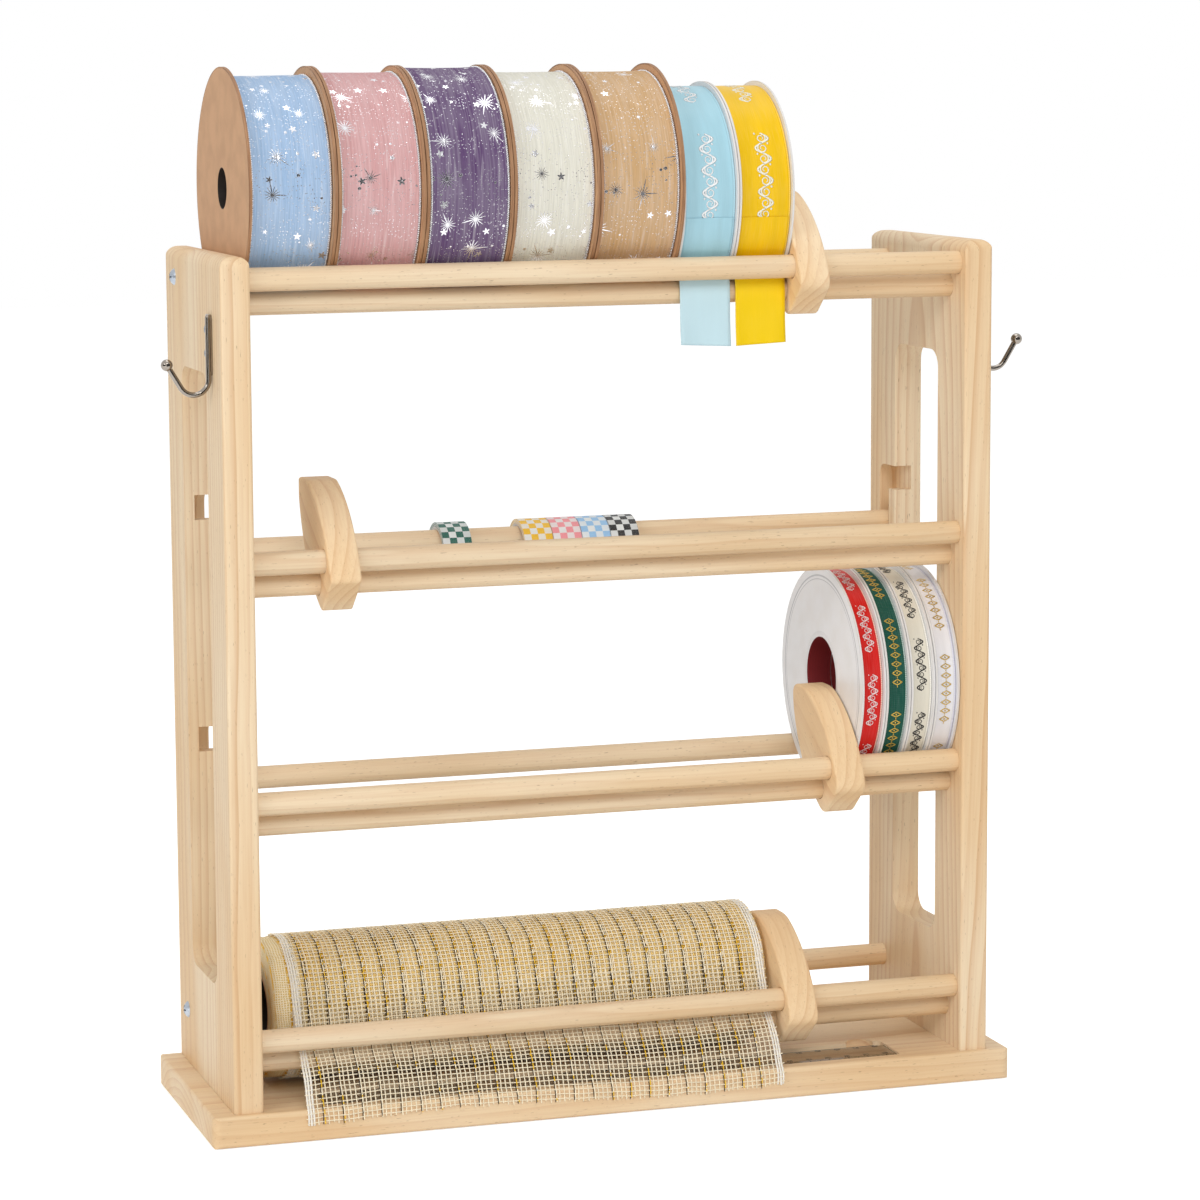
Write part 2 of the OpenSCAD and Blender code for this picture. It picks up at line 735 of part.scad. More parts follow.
// plate with a keyhole on the panel's rear edge
module hanger() {
    color(STEEL) along_y(panel_rear, panel_rear + hanger_t) difference() {
        round_box([panel_x - hanger_w / 2, hanger_z - hanger_h / 2],
                  [panel_x + hanger_w / 2, hanger_z + hanger_h / 2], hanger_r);
        translate([panel_x, keyhole_z]) circle(r = keyhole_r);
        upright_slot([panel_x, keyhole_z], keyslot_len, keyslot_r);
        for (z = hanger_screws_z) translate([panel_x, z]) circle(d = small_d + 2 * screw_gap);
    }
}

module left_hanger() {
    mirror([1, 0, 0]) hanger();
}

module right_hanger() {
    hanger();
}

// ---- reels ----

// two flanges on a hub
module reel(x, yz, w, flange_r, flange_t, hub_r, bore_r) {
    turned(x, yz) polygon([
        [0, bore_r], [w, bore_r], [w, flange_r], [w - flange_t, flange_r], [w - flange_t, hub_r],
        [flange_t, hub_r], [flange_t, flange_r], [0, flange_r]]);
}

module winding(x, yz, w, inner, outer) {
    turned(x, yz) translate([0, inner]) square([w, outer - inner]);
}

module wide_reel(i) {
    color(KRAFT) reel(wide_x(i - 1), wide_seat, wide_w, wide_flange_r, wide_flange_t,
                      wide_hub_r, wide_bore_r);
}

module wide_ribbon(i) {
    color(WIDE_COLOURS[i - 1])
        winding(wide_x(i - 1) + wide_flange_t + wound_gap, wide_seat, wide_ribbon_w,
                wide_hub_r + hub_gap, wide_wound_r + wide_more[i - 1]);
}

module satin_reel(i) {
    color(CARD) reel(satin_x(i - 1), satin_seat, satin_w, satin_flange_r, satin_flange_t,
                     satin_hub_r, satin_bore_r);
}

module satin_ribbon(i) {
    color(SATIN_COLOURS[i - 1])
        winding(satin_x(i - 1) + satin_flange_t + wound_gap, satin_seat, satin_ribbon_w,
                satin_hub_r + hub_gap, satin_wound_r);
}

module narrow_reel(i) {
    color(CARD) reel(narrow_x(i - 1), narrow_seat, narrow_w, narrow_flange_r, narrow_flange_t,
                     narrow_hub_r, narrow_bore_r);
}

module narrow_ribbon(i) {
    color(NARROW_COLOURS[i - 1])
        winding(narrow_x(i - 1) + narrow_flange_t + wound_gap, narrow_seat, narrow_ribbon_w,
                narrow_hub_r + hub_gap, narrow_wound_r);
}

// tape on a card core that stands a little in from the tape's sides
module tape_roll(i) {
    color(TAPE_COLOURS[i - 1]) {
        winding(tape_x(i - 1), tape_centre, tape_w, tape_bore_r + tape_core_t, tape_r);
        winding(tape_x(i - 1) + tape_core_inset, tape_centre, tape_w - 2 * tape_core_inset,
                tape_bore_r, tape_bore_r + tape_core_t);
    }
}

// loose end of a satin ribbon: it follows the reel past the front rod, drops between the
// front and lower rods and hangs straight
satin_lift = rest_gap + tail_t / 2;
function on_satin(a) = satin_seat + (satin_wound_r + satin_lift) * [cos(a), sin(a)];
nip_angle = atan2(tier_z[0] - satin_seat[1], front_y - satin_seat[0]) + 360;
tail_wrap = 24;
tail_y = lower_y - rod_r - satin_lift - 0.5;
tail_end_z = tier_z[0] - tail_drop;
tail_line = [
    for (a = [nip_angle - tail_wrap : 4 : nip_angle]) on_satin(a),
    [front_y + rod_r + satin_lift, tier_z[0]],
    [(front_y + rod_r + satin_lift + tail_y) / 2, tier_z[0] - lower_drop / 2],
    [tail_y, tier_z[0] - lower_drop],
    [tail_y, tail_end_z]
];

// unit normal of a line of points at point i, to its left
function along(p, i) = p[min(i + 1, len(p) - 1)] - p[max(i - 1, 0)];
function left_of(p, i) = [-along(p, i)[1], along(p, i)[0]] / norm(along(p, i));
function beside(p, offset) = [for (i = [0 : len(p) - 1]) p[i] + offset * left_of(p, i)];
function reversed(p) = [for (i = [len(p) - 1 : -1 : 0]) p[i]];

module satin_tail(i) {
    color(SATIN_COLOURS[i - 1])
        along_x(satin_x(i - 1) + satin_flange_t + wound_gap, satin_ribbon_w)
            polygon(concat(beside(tail_line, tail_t / 2), reversed(beside(tail_line, -tail_t / 2))));
}

// ---- mesh roll ----

module mesh_core() {
    color(KRAFT) winding(mesh_left, [mesh_y, mesh_z], mesh_w, core_r - core_wall, core_r);
}

module mesh_roll() {
    inner = core_r + hub_gap;
    body_r = mesh_r - mesh_layer;
    color(MESH) turned(mesh_left, [mesh_y, mesh_z]) polygon([
        [0, inner], [mesh_w, inner], [mesh_w, mesh_r], [mesh_step, mesh_r], [mesh_step, body_r],
        [0, body_r]]);
}

// route of the loose mesh, in Y and Z: off the roll, down between the rods, onto the board
// and over its front edge
net_lift = rest_gap + net_t / 2;
net_turn = mesh_r + net_lift;
nip_4 = [(front_y + lower_y) / 2, tier_4_z - lower_drop / 2];
// it leaves the roll where the line to the rods touches it
to_nip = nip_4 - [mesh_y, mesh_z];
net_leave = atan2(to_nip[1], to_nip[0]) - acos(net_turn / norm(to_nip));
net_route = [
    [mesh_y, mesh_z] + net_turn * [cos(net_leave), sin(net_leave)],
    nip_4,
    [front_y - 2, (nip_4[1] + base_t + net_lift) / 2],
    [front_y - 6, base_t + net_lift + 1.5],
    [-base_d / 2 + 1, base_t + net_lift + 0.5],
    [-base_d / 2 - net_lift - 0.4, base_t - ease_r],
    [-base_d / 2 - net_lift - 0.6, base_t - net_droop]
];
// point at s, from 0 to 1, on a smooth line through the points p
function spline(p, s) =
    let (n = len(p) - 1, k = min(floor(s * n), n - 1), u = s * n - k,
         a = p[max(k - 1, 0)], b = p[k], c = p[k + 1], d = p[min(k + 2, n)])
    0.5 * (2 * b + u * (c - a) + u * u * (2 * a - 5 * b + 4 * c - d)
           + u * u * u * (3 * b - a - 3 * c + d));

// the route on close points, the length run up to each, and the point at a length
net_points = [for (i = [0 : 120]) spline(net_route, i / 120)];
function run_to(i) = i == 0 ? 0 : run_to(i - 1) + norm(net_points[i] - net_points[i - 1]);
net_runs = [for (i = [0 : len(net_points) - 1]) run_to(i)];
net_len = net_runs[len(net_runs) - 1];
function at_run(run) =
    [for (axis = [0, 1]) lookup(run, [for (i = [0 : len(net_runs) - 1]) [net_runs[i], net_points[i][axis]]])];

// share along the net of every edge of its bars: two for each bar, on both sides of it
function bar_edges(length, gaps, bar) =
    let (pitch = (length - bar) / gaps)
    [for (i = [0 : gaps], side = [0, 1]) (i * pitch + side * bar) / length];
net_w = mesh_w - 2 * net_inset;
net_us = bar_edges(net_w, net_cols, net_bar);
net_vs = bar_edges(net_len, net_rows, net_bar);
net_line = [for (v = net_vs) at_run(v * net_len)];
net_left = mesh_left + net_inset;

// the part between these shares of the length lies free, and rises there in low waves
net_free = [0.45, 0.85];
function net_rise(u, v) =
    let (share = (v - net_free[0]) / (net_free[1] - net_free[0]))
    share > 0 && share < 1
        ? net_wave * sin(share * 180) * (1 + sin(u * net_waves * 360)) / 2 : 0;
function net_point(i, j, side) =
    let (q = net_line[j] + side * net_t / 2 * left_of(net_line, j))
    [net_left + net_us[i] * net_w, q[0], q[1] + net_rise(net_us[i], net_vs[j])];

module mesh_tail() {
    nu = len(net_us);
    nv = len(net_vs);
    function id(i, j, side) = (j * nu + i) * 2 + side;
    // a cell between edges i and i + 1 is a hole where both numbers are odd
    function solid_cell(i, j) = i >= 0 && j >= 0 && i < nu - 1 && j < nv - 1
        && !(i % 2 == 1 && j % 2 == 1);
    points = [for (j = [0 : nv - 1], i = [0 : nu - 1], side = [0, 1])
        net_point(i, j, side == 0 ? 1 : -1)];
    faces = [for (j = [-1 : nv - 1], i = [-1 : nu - 1]) each concat(
        solid_cell(i, j) ? [
            [id(i, j, 0), id(i + 1, j, 0), id(i + 1, j + 1, 0)],
            [id(i, j, 0), id(i + 1, j + 1, 0), id(i, j + 1, 0)],
            [id(i, j, 1), id(i + 1, j + 1, 1), id(i + 1, j, 1)],
            [id(i, j, 1), id(i, j + 1, 1), id(i + 1, j + 1, 1)]] : [],
        // wall between this cell and the next one along
        solid_cell(i, j) && !solid_cell(i + 1, j) ? wall(id(i + 1, j, 0), id(i + 1, j, 1),
            id(i + 1, j + 1, 0), id(i + 1, j + 1, 1)) : [],
        !solid_cell(i, j) && solid_cell(i + 1, j) ? wall(id(i + 1, j, 1), id(i + 1, j, 0),
            id(i + 1, j + 1, 1), id(i + 1, j + 1, 0)) : [],
        solid_cell(i, j) && !solid_cell(i, j + 1) ? wall(id(i, j + 1, 1), id(i, j + 1, 0),
            id(i + 1, j + 1, 1), id(i + 1, j + 1, 0)) : [],
        !solid_cell(i, j) && solid_cell(i, j + 1) ? wall(id(i, j + 1, 0), id(i, j + 1, 1),
            id(i + 1, j + 1, 0), id(i + 1, j + 1, 1)) : [])];
    color(MESH) polyhedron(points, faces, convexity = 6);
}
function wall(a, b, c, d) = [[a, b, d], [a, d, c]];

// ---- assembly ----

base_board();
left_panel();
right_panel();
front_rod(1);  // front_rod_1
front_rod(2);  // front_rod_2
front_rod(3);  // front_rod_3
front_rod(4);  // front_rod_4
lower_rod(1);  // lower_rod_1
lower_rod(2);  // lower_rod_2
lower_rod(3);  // lower_rod_3
lower_rod(4);  // lower_rod_4
fixed_rear_rod(1);  // rear_rod_1
loose_rear_rod(2);  // rear_rod_2
loose_rear_rod(3);  // rear_rod_3
fixed_rear_rod(4);  // rear_rod_4
divider(1);  // divider_1
divider(2);  // divider_2
divider(3);  // divider_3
divider(4);  // divider_4
ruler();
left_hook();
right_hook();
hook_screws();
left_hanger();
right_hanger();
hanger_screws();
rod_screws();
base_screws();
wide_reel(1);  // wide_reel_1
wide_reel(2);  // wide_reel_2
wide_reel(3);  // wide_reel_3
wide_reel(4);  // wide_reel_4
wide_reel(5);  // wide_reel_5
wide_ribbon(1);  // wide_ribbon_1
wide_ribbon(2);  // wide_ribbon_2
wide_ribbon(3);  // wide_ribbon_3
wide_ribbon(4);  // wide_ribbon_4
wide_ribbon(5);  // wide_ribbon_5
satin_reel(1);  // satin_reel_1
satin_reel(2);  // satin_reel_2
satin_ribbon(1);  // satin_ribbon_1
satin_ribbon(2);  // satin_ribbon_2
satin_tail(1);  // satin_tail_1
satin_tail(2);  // satin_tail_2
narrow_reel(1);  // narrow_reel_1
narrow_reel(2);  // narrow_reel_2
narrow_reel(3);  // narrow_reel_3
narrow_reel(4);  // narrow_reel_4
narrow_ribbon(1);  // narrow_ribbon_1
narrow_ribbon(2);  // narrow_ribbon_2
narrow_ribbon(3);  // narrow_ribbon_3
narrow_ribbon(4);  // narrow_ribbon_4
tape_roll(1);  // tape_roll_1
tape_roll(2);  // tape_roll_2
tape_roll(3);  // tape_roll_3
tape_roll(4);  // tape_roll_4
tape_roll(5);  // tape_roll_5
mesh_core();
mesh_roll();
mesh_tail();
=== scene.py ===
"""Ribbon spool dispenser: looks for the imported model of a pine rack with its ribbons.

Everything is in metres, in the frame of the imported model: X along the rack, Y to the back and
Z up. Pieces take their places from the boxes of the CAD nodes that they stand for.
"""

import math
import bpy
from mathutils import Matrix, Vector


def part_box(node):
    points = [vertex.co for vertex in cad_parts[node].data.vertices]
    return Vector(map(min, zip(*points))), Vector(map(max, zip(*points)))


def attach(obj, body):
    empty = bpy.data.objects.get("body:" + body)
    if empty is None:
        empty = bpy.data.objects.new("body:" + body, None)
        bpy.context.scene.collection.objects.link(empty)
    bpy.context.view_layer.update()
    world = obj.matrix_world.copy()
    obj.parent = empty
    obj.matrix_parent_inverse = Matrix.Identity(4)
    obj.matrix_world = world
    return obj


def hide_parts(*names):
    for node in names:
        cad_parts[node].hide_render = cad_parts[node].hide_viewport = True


bl_info = {
    "name": "Ribbon spool dispenser",
    "version": (1, 0, 0),
    "blender": (4, 5, 0),
    "location": "3D View > Sidebar > Ribbon rack",
    "description": "Dresses a pine ribbon rack with grain, wound ribbons, tapes and woven mesh",
    "category": "Object",
}

import bmesh
import bpy
import numpy as np
from mathutils import Matrix, Vector
from mathutils.geometry import tessellate_polygon

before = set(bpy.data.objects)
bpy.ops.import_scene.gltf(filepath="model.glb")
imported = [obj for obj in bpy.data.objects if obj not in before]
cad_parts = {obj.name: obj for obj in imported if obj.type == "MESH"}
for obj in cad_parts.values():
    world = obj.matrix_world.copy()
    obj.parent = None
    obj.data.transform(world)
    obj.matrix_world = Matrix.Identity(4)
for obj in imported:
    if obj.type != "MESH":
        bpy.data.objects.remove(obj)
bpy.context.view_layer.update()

MM = 0.001
TURN = 2 * math.pi
WHITE = (1, 1, 1, 1)


# ---- places taken from the frame ----

def centre_of(node):
    """Middle of a CAD node's box."""
    low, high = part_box(node)
    return (low + high) / 2


def axis_of(node):
    """Y and Z of a CAD node that is round about an X axis."""
    return tuple(centre_of(node)[1:])


def radius_of(node):
    """Half the height of a CAD node that is round about an X axis."""
    low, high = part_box(node)
    return (high.z - low.z) / 2


# ---- settings ----

def colour_setting(name, description, value):
    """A colour as it is seen on the screen, given in parts of 255."""
    return bpy.props.FloatVectorProperty(
        name=name, description=description, subtype="COLOR_GAMMA", size=3, min=0, max=1,
        default=tuple(v / 255 for v in value))


def number_setting(name, description, value, **choices):
    return bpy.props.FloatProperty(name=name, description=description, default=value, min=0,
                                   **choices)


def length_setting(name, description, millimetres):
    return number_setting(name, description, millimetres * MM, precision=5, unit="LENGTH")


def share_setting(name, description, value):
    return number_setting(name, description, value, max=1, subtype="FACTOR")


def power_setting(name, description, value):
    return number_setting(name, description, value, unit="POWER")


class StageSettings(bpy.types.PropertyGroup):
    key_power: power_setting("Main lamp", "Large lamp in front, above the rack", 20)
    fill_power: power_setting("Side lamp", "Lamp at the left", 13.5)
    top_power: power_setting("Top lamp", "Lamp above the rack", 5.5)
    front_power: power_setting("Front lamp", "Low lamp in front", 3)
    sky_level: share_setting("Surrounding light", "Even light from all sides", 0.45)


class WoodSettings(bpy.types.PropertyGroup):
    early: colour_setting("Early wood", "Pale wood between the growth lines", (243, 222, 189))
    warm: colour_setting("Warm wood", "Warmer patches of the pale wood", (234, 202, 158))
    late: colour_setting("Late wood", "Growth lines", (204, 152, 102))
    ring_pitch: length_setting("Ring pitch", "Distance between growth lines", 3.6)
    line_strength: share_setting("Line strength", "How strongly the growth lines show", 0.75)


class CardSettings(bpy.types.PropertyGroup):
    kraft: colour_setting("Kraft card", "Flanges of the wide reels", (206, 160, 118))
    kraft_edge: colour_setting("Kraft edge", "Rims of the wide reels' flanges", (128, 86, 54))
    white: colour_setting("White card", "Flanges of the satin and narrow reels", (238, 238, 240))
    white_edge: colour_setting("White edge", "Rims of the white flanges", (214, 208, 200))
    print: colour_setting("Rings", "Thin rings printed on the white flanges", (176, 176, 180))
    # Bore shade is painted shade: a dark brown that stands for the shadow inside the bores of the
    # kraft and satin reels and of the mesh core.
    bore: colour_setting("Bore shade", "Inside of the wide reels' hubs", (46, 34, 26))
    hub: colour_setting("Hub lining", "Inside of the narrow reels' hubs", (158, 52, 56))


class RibbonSettings(bpy.types.PropertyGroup):
    blue: colour_setting("Blue", "First wide ribbon", (158, 188, 222))
    pink: colour_setting("Pink", "Second wide ribbon", (212, 160, 160))
    purple: colour_setting("Purple", "Third wide ribbon", (92, 62, 108))
    cream: colour_setting("Cream", "Fourth wide ribbon", (226, 223, 208))
    tan: colour_setting("Tan", "Fifth wide ribbon", (206, 166, 116))
    foil: colour_setting("Foil", "Stars and edges of the wide ribbons", (236, 236, 240))
    cord_radius: length_setting("Edge cord", "Radius of the wired edges", 0.55)
    satin_blue: colour_setting("Satin blue", "First satin ribbon", (172, 216, 230))
    satin_yellow: colour_setting("Satin yellow", "Second satin ribbon", (248, 200, 0))
    # The tail colours are painted light: the same satin as the wound ribbon, as it looks where it
    # hangs in the light.
    tail_blue: colour_setting("Lit blue tail", "Loose end of the first satin", (204, 228, 234))
    tail_yellow: colour_setting("Lit yellow tail", "Loose end of the second satin", (244, 208, 0))
    red: colour_setting("Red", "First narrow ribbon", (216, 22, 14))
    green: colour_setting("Green", "Second narrow ribbon", (14, 84, 68))
    ivory: colour_setting("Ivory", "Third narrow ribbon", (233, 226, 208))
    white: colour_setting("White", "Fourth narrow ribbon", (240, 238, 240))


class TapeSettings(bpy.types.PropertyGroup):
    green: colour_setting("Green", "Checks of the first tape", (24, 96, 82))
    yellow: colour_setting("Yellow", "Checks of the second tape", (240, 190, 40))
    pink: colour_setting("Pink", "Checks of the third tape", (240, 150, 158))
    blue: colour_setting("Blue", "Checks of the fourth tape", (150, 196, 236))
    black: colour_setting("Black", "Checks of the fifth tape", (28, 28, 30))
    pale: colour_setting("Pale", "Pale checks of every tape", (232, 236, 236))
    check: length_setting("Check", "Side of one check", 3.62)


class MeshSettings(bpy.types.PropertyGroup):
    cream: colour_setting("Cream", "Plain threads", (255, 243, 214))
    edge: colour_setting("Edge", "Thick threads of the woven edges", (246, 242, 232))
    gold: colour_setting("Gold", "Gold film threads", (238, 190, 44))
    black: colour_setting("Black", "Dark film threads", (44, 34, 22))
    body: colour_setting("Body", "Turns under the outer one", (250, 216, 132))
    warp_pitch: length_setting("Warp pitch", "Distance of threads along the mesh", 2.35)
    weft_pitch: length_setting("Weft pitch", "Distance of threads across the mesh", 2.27)
    thread: length_setting("Thread", "Half the width of a plain thread", 0.27)


class MetalSettings(bpy.types.PropertyGroup):
    nickel: colour_setting("Nickel", "Hooks", (158, 150, 141))
    zinc: colour_setting("Zinc", "Screws", (176, 184, 194))
    steel: colour_setting("Steel", "Hanger plates", (150, 150, 152))


SETTINGS = {
    "rack_stage": StageSettings,
    "rack_wood": WoodSettings,
    "rack_card": CardSettings,
    "rack_ribbon": RibbonSettings,
    "rack_tape": TapeSettings,
    "rack_mesh": MeshSettings,
    "rack_metal": MetalSettings,
}


# ---- colours and nodes ----

def linear(colour, level=1.0):
    """A colour as seen on the screen, times level, as the light that it stands for."""
    seen = np.array(colour[:3], float) * level
    light = np.where(seen <= 0.04045, seen / 12.92, ((seen + 0.055) / 1.055) ** 2.4)
    return (*light.tolist(), 1.0)


def darker(light, level):
    """A colour of light times level, with alpha 1."""
    return [c * level for c in light[:3]] + [1]


def paler(light, share):
    """A colour of light, moved by a share towards white."""
    return [c + (1 - c) * share for c in light[:3]] + [1]


def screen(*parts):
    """A colour given in parts of 255."""
    return [part / 255 for part in parts]


class Value:
    """A socket that takes part in sums: each sign makes one maths node."""

    def __init__(self, nodes, socket):
        self.nodes, self.socket = nodes, socket

    def __add__(self, other):
        return self.nodes.math("ADD", self, other)

    def __sub__(self, other):
        return self.nodes.math("SUBTRACT", self, other)

    def __rsub__(self, other):
        return self.nodes.math("SUBTRACT", other, self)

    def __mul__(self, other):
        return self.nodes.math("MULTIPLY", self, other)

    def __truediv__(self, other):
        return self.nodes.math("DIVIDE", self, other)

    def __pow__(self, other):
        return self.nodes.math("POWER", self, other)

    def __abs__(self):
        return self.nodes.math("ABSOLUTE", self)


class Nodes:
    """Writes a node tree as short expressions of values and plain numbers."""

    def __init__(self, tree, material=None):
        self.tree, self.material = tree, material

    def feed(self, socket, value):
        if isinstance(value, Value):
            self.tree.links.new(value.socket, socket)
        elif value is not None:
            socket.default_value = value

    def outputs(self, kind, inputs=(), **choices):
        """Makes a node, sets its choices and inputs, and gives its outputs by name."""
        node = self.tree.nodes.new("ShaderNode" + kind)
        for key, choice in choices.items():
            setattr(node, key, choice)
        for key, value in dict(inputs).items():
            self.feed(node.inputs[key], value)
        return {socket.name: Value(self, socket) for socket in node.outputs if socket.enabled}

    def add(self, kind, inputs=(), output=None, **choices):
        """Makes a node and gives one of its outputs, the first if none is named."""
        found = self.outputs(kind, inputs, **choices)
        return found[output or next(iter(found))]

    def math(self, operation, *values):
        return self.add("Math", enumerate(values), operation=operation)

    def most(self, first, *others):
        """The largest of the values."""
        for other in others:
            first = self.math("MAXIMUM", first, other)
        return first

    def vector(self, operation, *values):
        return self.add("VectorMath", enumerate(values), operation=operation)

    def split(self, vector, ways="XYZ"):
        """The named parts of a vector, as a list."""
        found = self.outputs("SeparateXYZ", {0: vector})
        return [found[way] for way in ways]

    def join(self, x=0.0, y=0.0, z=0.0):
        return self.add("CombineXYZ", {0: x, 1: y, 2: z})

    def step(self, value, low, high, start=0.0, end=1.0):
        """Rises smoothly from start to end while value goes from low to high."""
        return self.add("MapRange", {0: value, 1: low, 2: high, 3: start, 4: end},
                        interpolation_type="SMOOTHSTEP")

    def band(self, value, middle, soft, wide, level=1.0):
        """Is level where value is near middle, up to soft, and falls to 0 at wide from it."""
        return self.step(abs(value - middle), soft, wide, level, 0.0)

    def mix(self, share, first, second):
        return self.add("Mix", {0: share, 6: first, 7: second}, data_type="RGBA")

    def over(self, colour, *layers):
        """Lays further colours over the first; each layer is its share and its colour."""
        for share, layer in layers:
            colour = self.mix(share, colour, layer)
        return colour

    def noise(self, vector, scale, detail=2, *rise):
        """Soft noise; scale is one number or one a way, and rise the numbers for a step."""
        if isinstance(scale, tuple):
            vector, scale = self.vector("MULTIPLY", vector, scale), 1.0
        fac = self.add("TexNoise", {"Vector": vector, "Scale": scale, "Detail": detail}, "Fac")
        return self.step(fac, *rise) if rise else fac

    def chance(self, vector):
        """A random number from 0 to 1 for each value of the vector."""
        return self.add("TexWhiteNoise", {"Vector": vector}, "Value")

    def cells(self, vector, scale):
        """A random number for each cell of a net with scale cells a metre."""
        return self.chance(self.vector("FLOOR", self.vector("MULTIPLY", vector, scale)))

    def humps(self, value, pitch):
        """The size of a sine wave with one hump every pitch."""
        return abs(self.math("SINE", value * (math.pi / pitch)))

    def radius(self, y, z):
        return self.math("SQRT", y * y + z * z)

    def outside(self, value, low, high):
        """1 below low and above high."""
        return self.most(self.math("LESS_THAN", value, low),
                         self.math("GREATER_THAN", value, high))

    def uv(self):
        return self.add("TexCoord", output="UV")

    def place(self, centre=(0, 0, 0), turn=(0, 0, 0)):
        """Object coordinates about a centre, turned so that a pattern lies as the piece does."""
        moved = self.vector("SUBTRACT", self.add("TexCoord", output="Object"), tuple(centre))
        return self.add("Mapping", {"Vector": moved, "Rotation": tuple(turn)})

    def use(self, name, **inputs):
        """Places a node group and gives its outputs."""
        return self.outputs("Group", inputs, node_tree=bpy.data.node_groups[name]).values()

    def surface(self, colour, rough, height=None, depth=0.1 * MM, strength=1.0, **sockets):
        """Ends the material in one shader; sockets are its further inputs by name."""
        inputs = {key.replace("_", " "): value for key, value in sockets.items()}
        if height is not None:
            inputs["Normal"] = self.add("Bump", {"Height": height, "Distance": depth,
                                                 "Strength": strength})
        shader = self.add("BsdfPrincipled", {"Base Color": colour, "Roughness": rough, **inputs})
        self.outputs("OutputMaterial", {"Surface": shader})
        return self.material


def new_material(name):
    material = bpy.data.materials.new(name)
    material.use_nodes = True
    material.node_tree.nodes.clear()
    return Nodes(material.node_tree, material)


def effect(name, build, inputs, outputs):
    """Makes a node group; build gets its tree and inputs and gives its outputs.

    Each socket's label has its kind, or for an input that is a number its usual value.
    """
    tree = bpy.data.node_groups.new(name, "ShaderNodeTree")
    for way, sockets in (("INPUT", inputs), ("OUTPUT", outputs)):
        for label, kind in sockets.items():
            number = not isinstance(kind, str)
            socket = tree.interface.new_socket(
                label, in_out=way, socket_type="NodeSocket" + ("Float" if number else kind))
            if number:
                socket.default_value = kind
    nodes = Nodes(tree)
    start = tree.nodes.new("NodeGroupInput").outputs
    end = tree.nodes.new("NodeGroupOutput").inputs
    results = build(nodes, *(Value(nodes, socket) for socket in start[:len(inputs)]))
    for socket, result in zip(end, results):
        nodes.feed(socket, result)


def pine_effect(nodes, place, early, warm, late, pitch, strength):
    """Growth rings about a pith that runs along X, with fibres and short dark flecks.

    The distance from the pith, bent by slow noise, is divided by the ring pitch. In each ring
    the wood darkens slowly and turns pale again at once.
    """
    y, z = nodes.split(place, "YZ")
    ring = (nodes.radius(y, z) + nodes.noise(place, (3, 16, 16), 3) * 0.012) / pitch
    share = nodes.math("FRACT", ring)
    each = nodes.chance(nodes.join(nodes.math("FLOOR", ring), 3.0, 1.0))
    dark = share ** 2.6 * nodes.step(share, 0.9, 1.0, 1.0, 0.0) * (each * 0.7 + 0.3)
    fibre = nodes.noise(place, (25, 1100, 1100))
    fleck = nodes.noise(place, (260, 2300, 2300), 1, 0.7, 0.76)
    colour = nodes.over(early, (nodes.noise(place, (5, 22, 22), 2, 0.35, 0.7), warm),
                        (dark * strength, late), (nodes.step(fibre, 0.35, 0.75) * 0.16, late),
                        (fleck * 0.5, nodes.mix(0.6, late, (0.05, 0.02, 0.01, 1))))
    return colour, dark * 0.4 + fibre * 0.6 - fleck * 0.5


def card_effect(nodes, place, colour, edge, rim):
    """Card with soft fibres and a worn rim; rim is 1 on the cut edge."""
    ply = nodes.noise(place, (6000, 60, 60), 1)
    shade = nodes.over(colour, (nodes.noise(place, 90, 3, 0.3, 0.75, 0.0, 0.22), edge),
                       (nodes.noise(place, 1300, 1, 0.68, 0.76) * 0.25, edge),
                       (rim * nodes.step(ply, 0.3, 0.7, 0.35, 0.95), edge))
    return shade, nodes.noise(place, (500, 900, 900)) * 0.5 + ply * rim


def slub_effect(nodes, place):
    """Sheer cloth woven with uneven threads; U runs along the ribbon and V across it."""
    thread = nodes.noise(place, (22, 900, 0))
    slub = nodes.noise(place, (34, 560, 0), 1, 0.62, 0.74)
    weave = nodes.math("SINE", nodes.split(place, "X")[0] * (TURN / (0.55 * MM)))
    light = slub * 0.55 + nodes.step(thread, 0.35, 0.75) * 0.3
    dark = nodes.noise(place, (60, 2600, 0), 1, 0.62, 0.4)
    glitter = nodes.step(nodes.cells(place, (2600, 2600, 0)), 0.972, 0.985)
    return light, dark, glitter, thread + weave * 0.06 + slub * 0.5


def burst(nodes, place, pitch, keep, size, spikes=3.0, core=0.999, sharp=1.0, uneven=False):
    """Shapes with spikes, one in a cell of a random net, kept where chance allows.

    About the cell's own point, the reach of the shape is size times core plus a rise
    towards the middle of each spike, to the power sharp. With uneven, spikes differ.
    """
    cell = nodes.outputs("TexVoronoi", {"Vector": place, "Scale": 1 / pitch,
                                        "Randomness": 0.6}, voronoi_dimensions="2D")
    way = nodes.vector("SUBTRACT", place, cell["Position"])
    dx, dy = nodes.split(way, "XY")
    red, green, blue = nodes.split(cell["Color"])
    turns = (nodes.math("ARCTAN2", dy, dx) * (1 / TURN) + green) * spikes
    reach = (1 - abs(nodes.math("FRACT", turns) * 2 - 1)) ** sharp
    if uneven:
        each = nodes.chance(nodes.join(nodes.math("FLOOR", turns), red, blue))
        reach = reach * (each * 0.3 + 0.62 + nodes.step(each, 0.88, 0.92, 0.0, 0.45))
    edge = (reach * (1 - core) + core) * (blue * 0.6 + 0.7) * size
    inside = nodes.step(nodes.vector("LENGTH", way) - edge, -0.04 * MM, 0.06 * MM, 1.0, 0.0)
    return inside * nodes.math("LESS_THAN", red, keep)


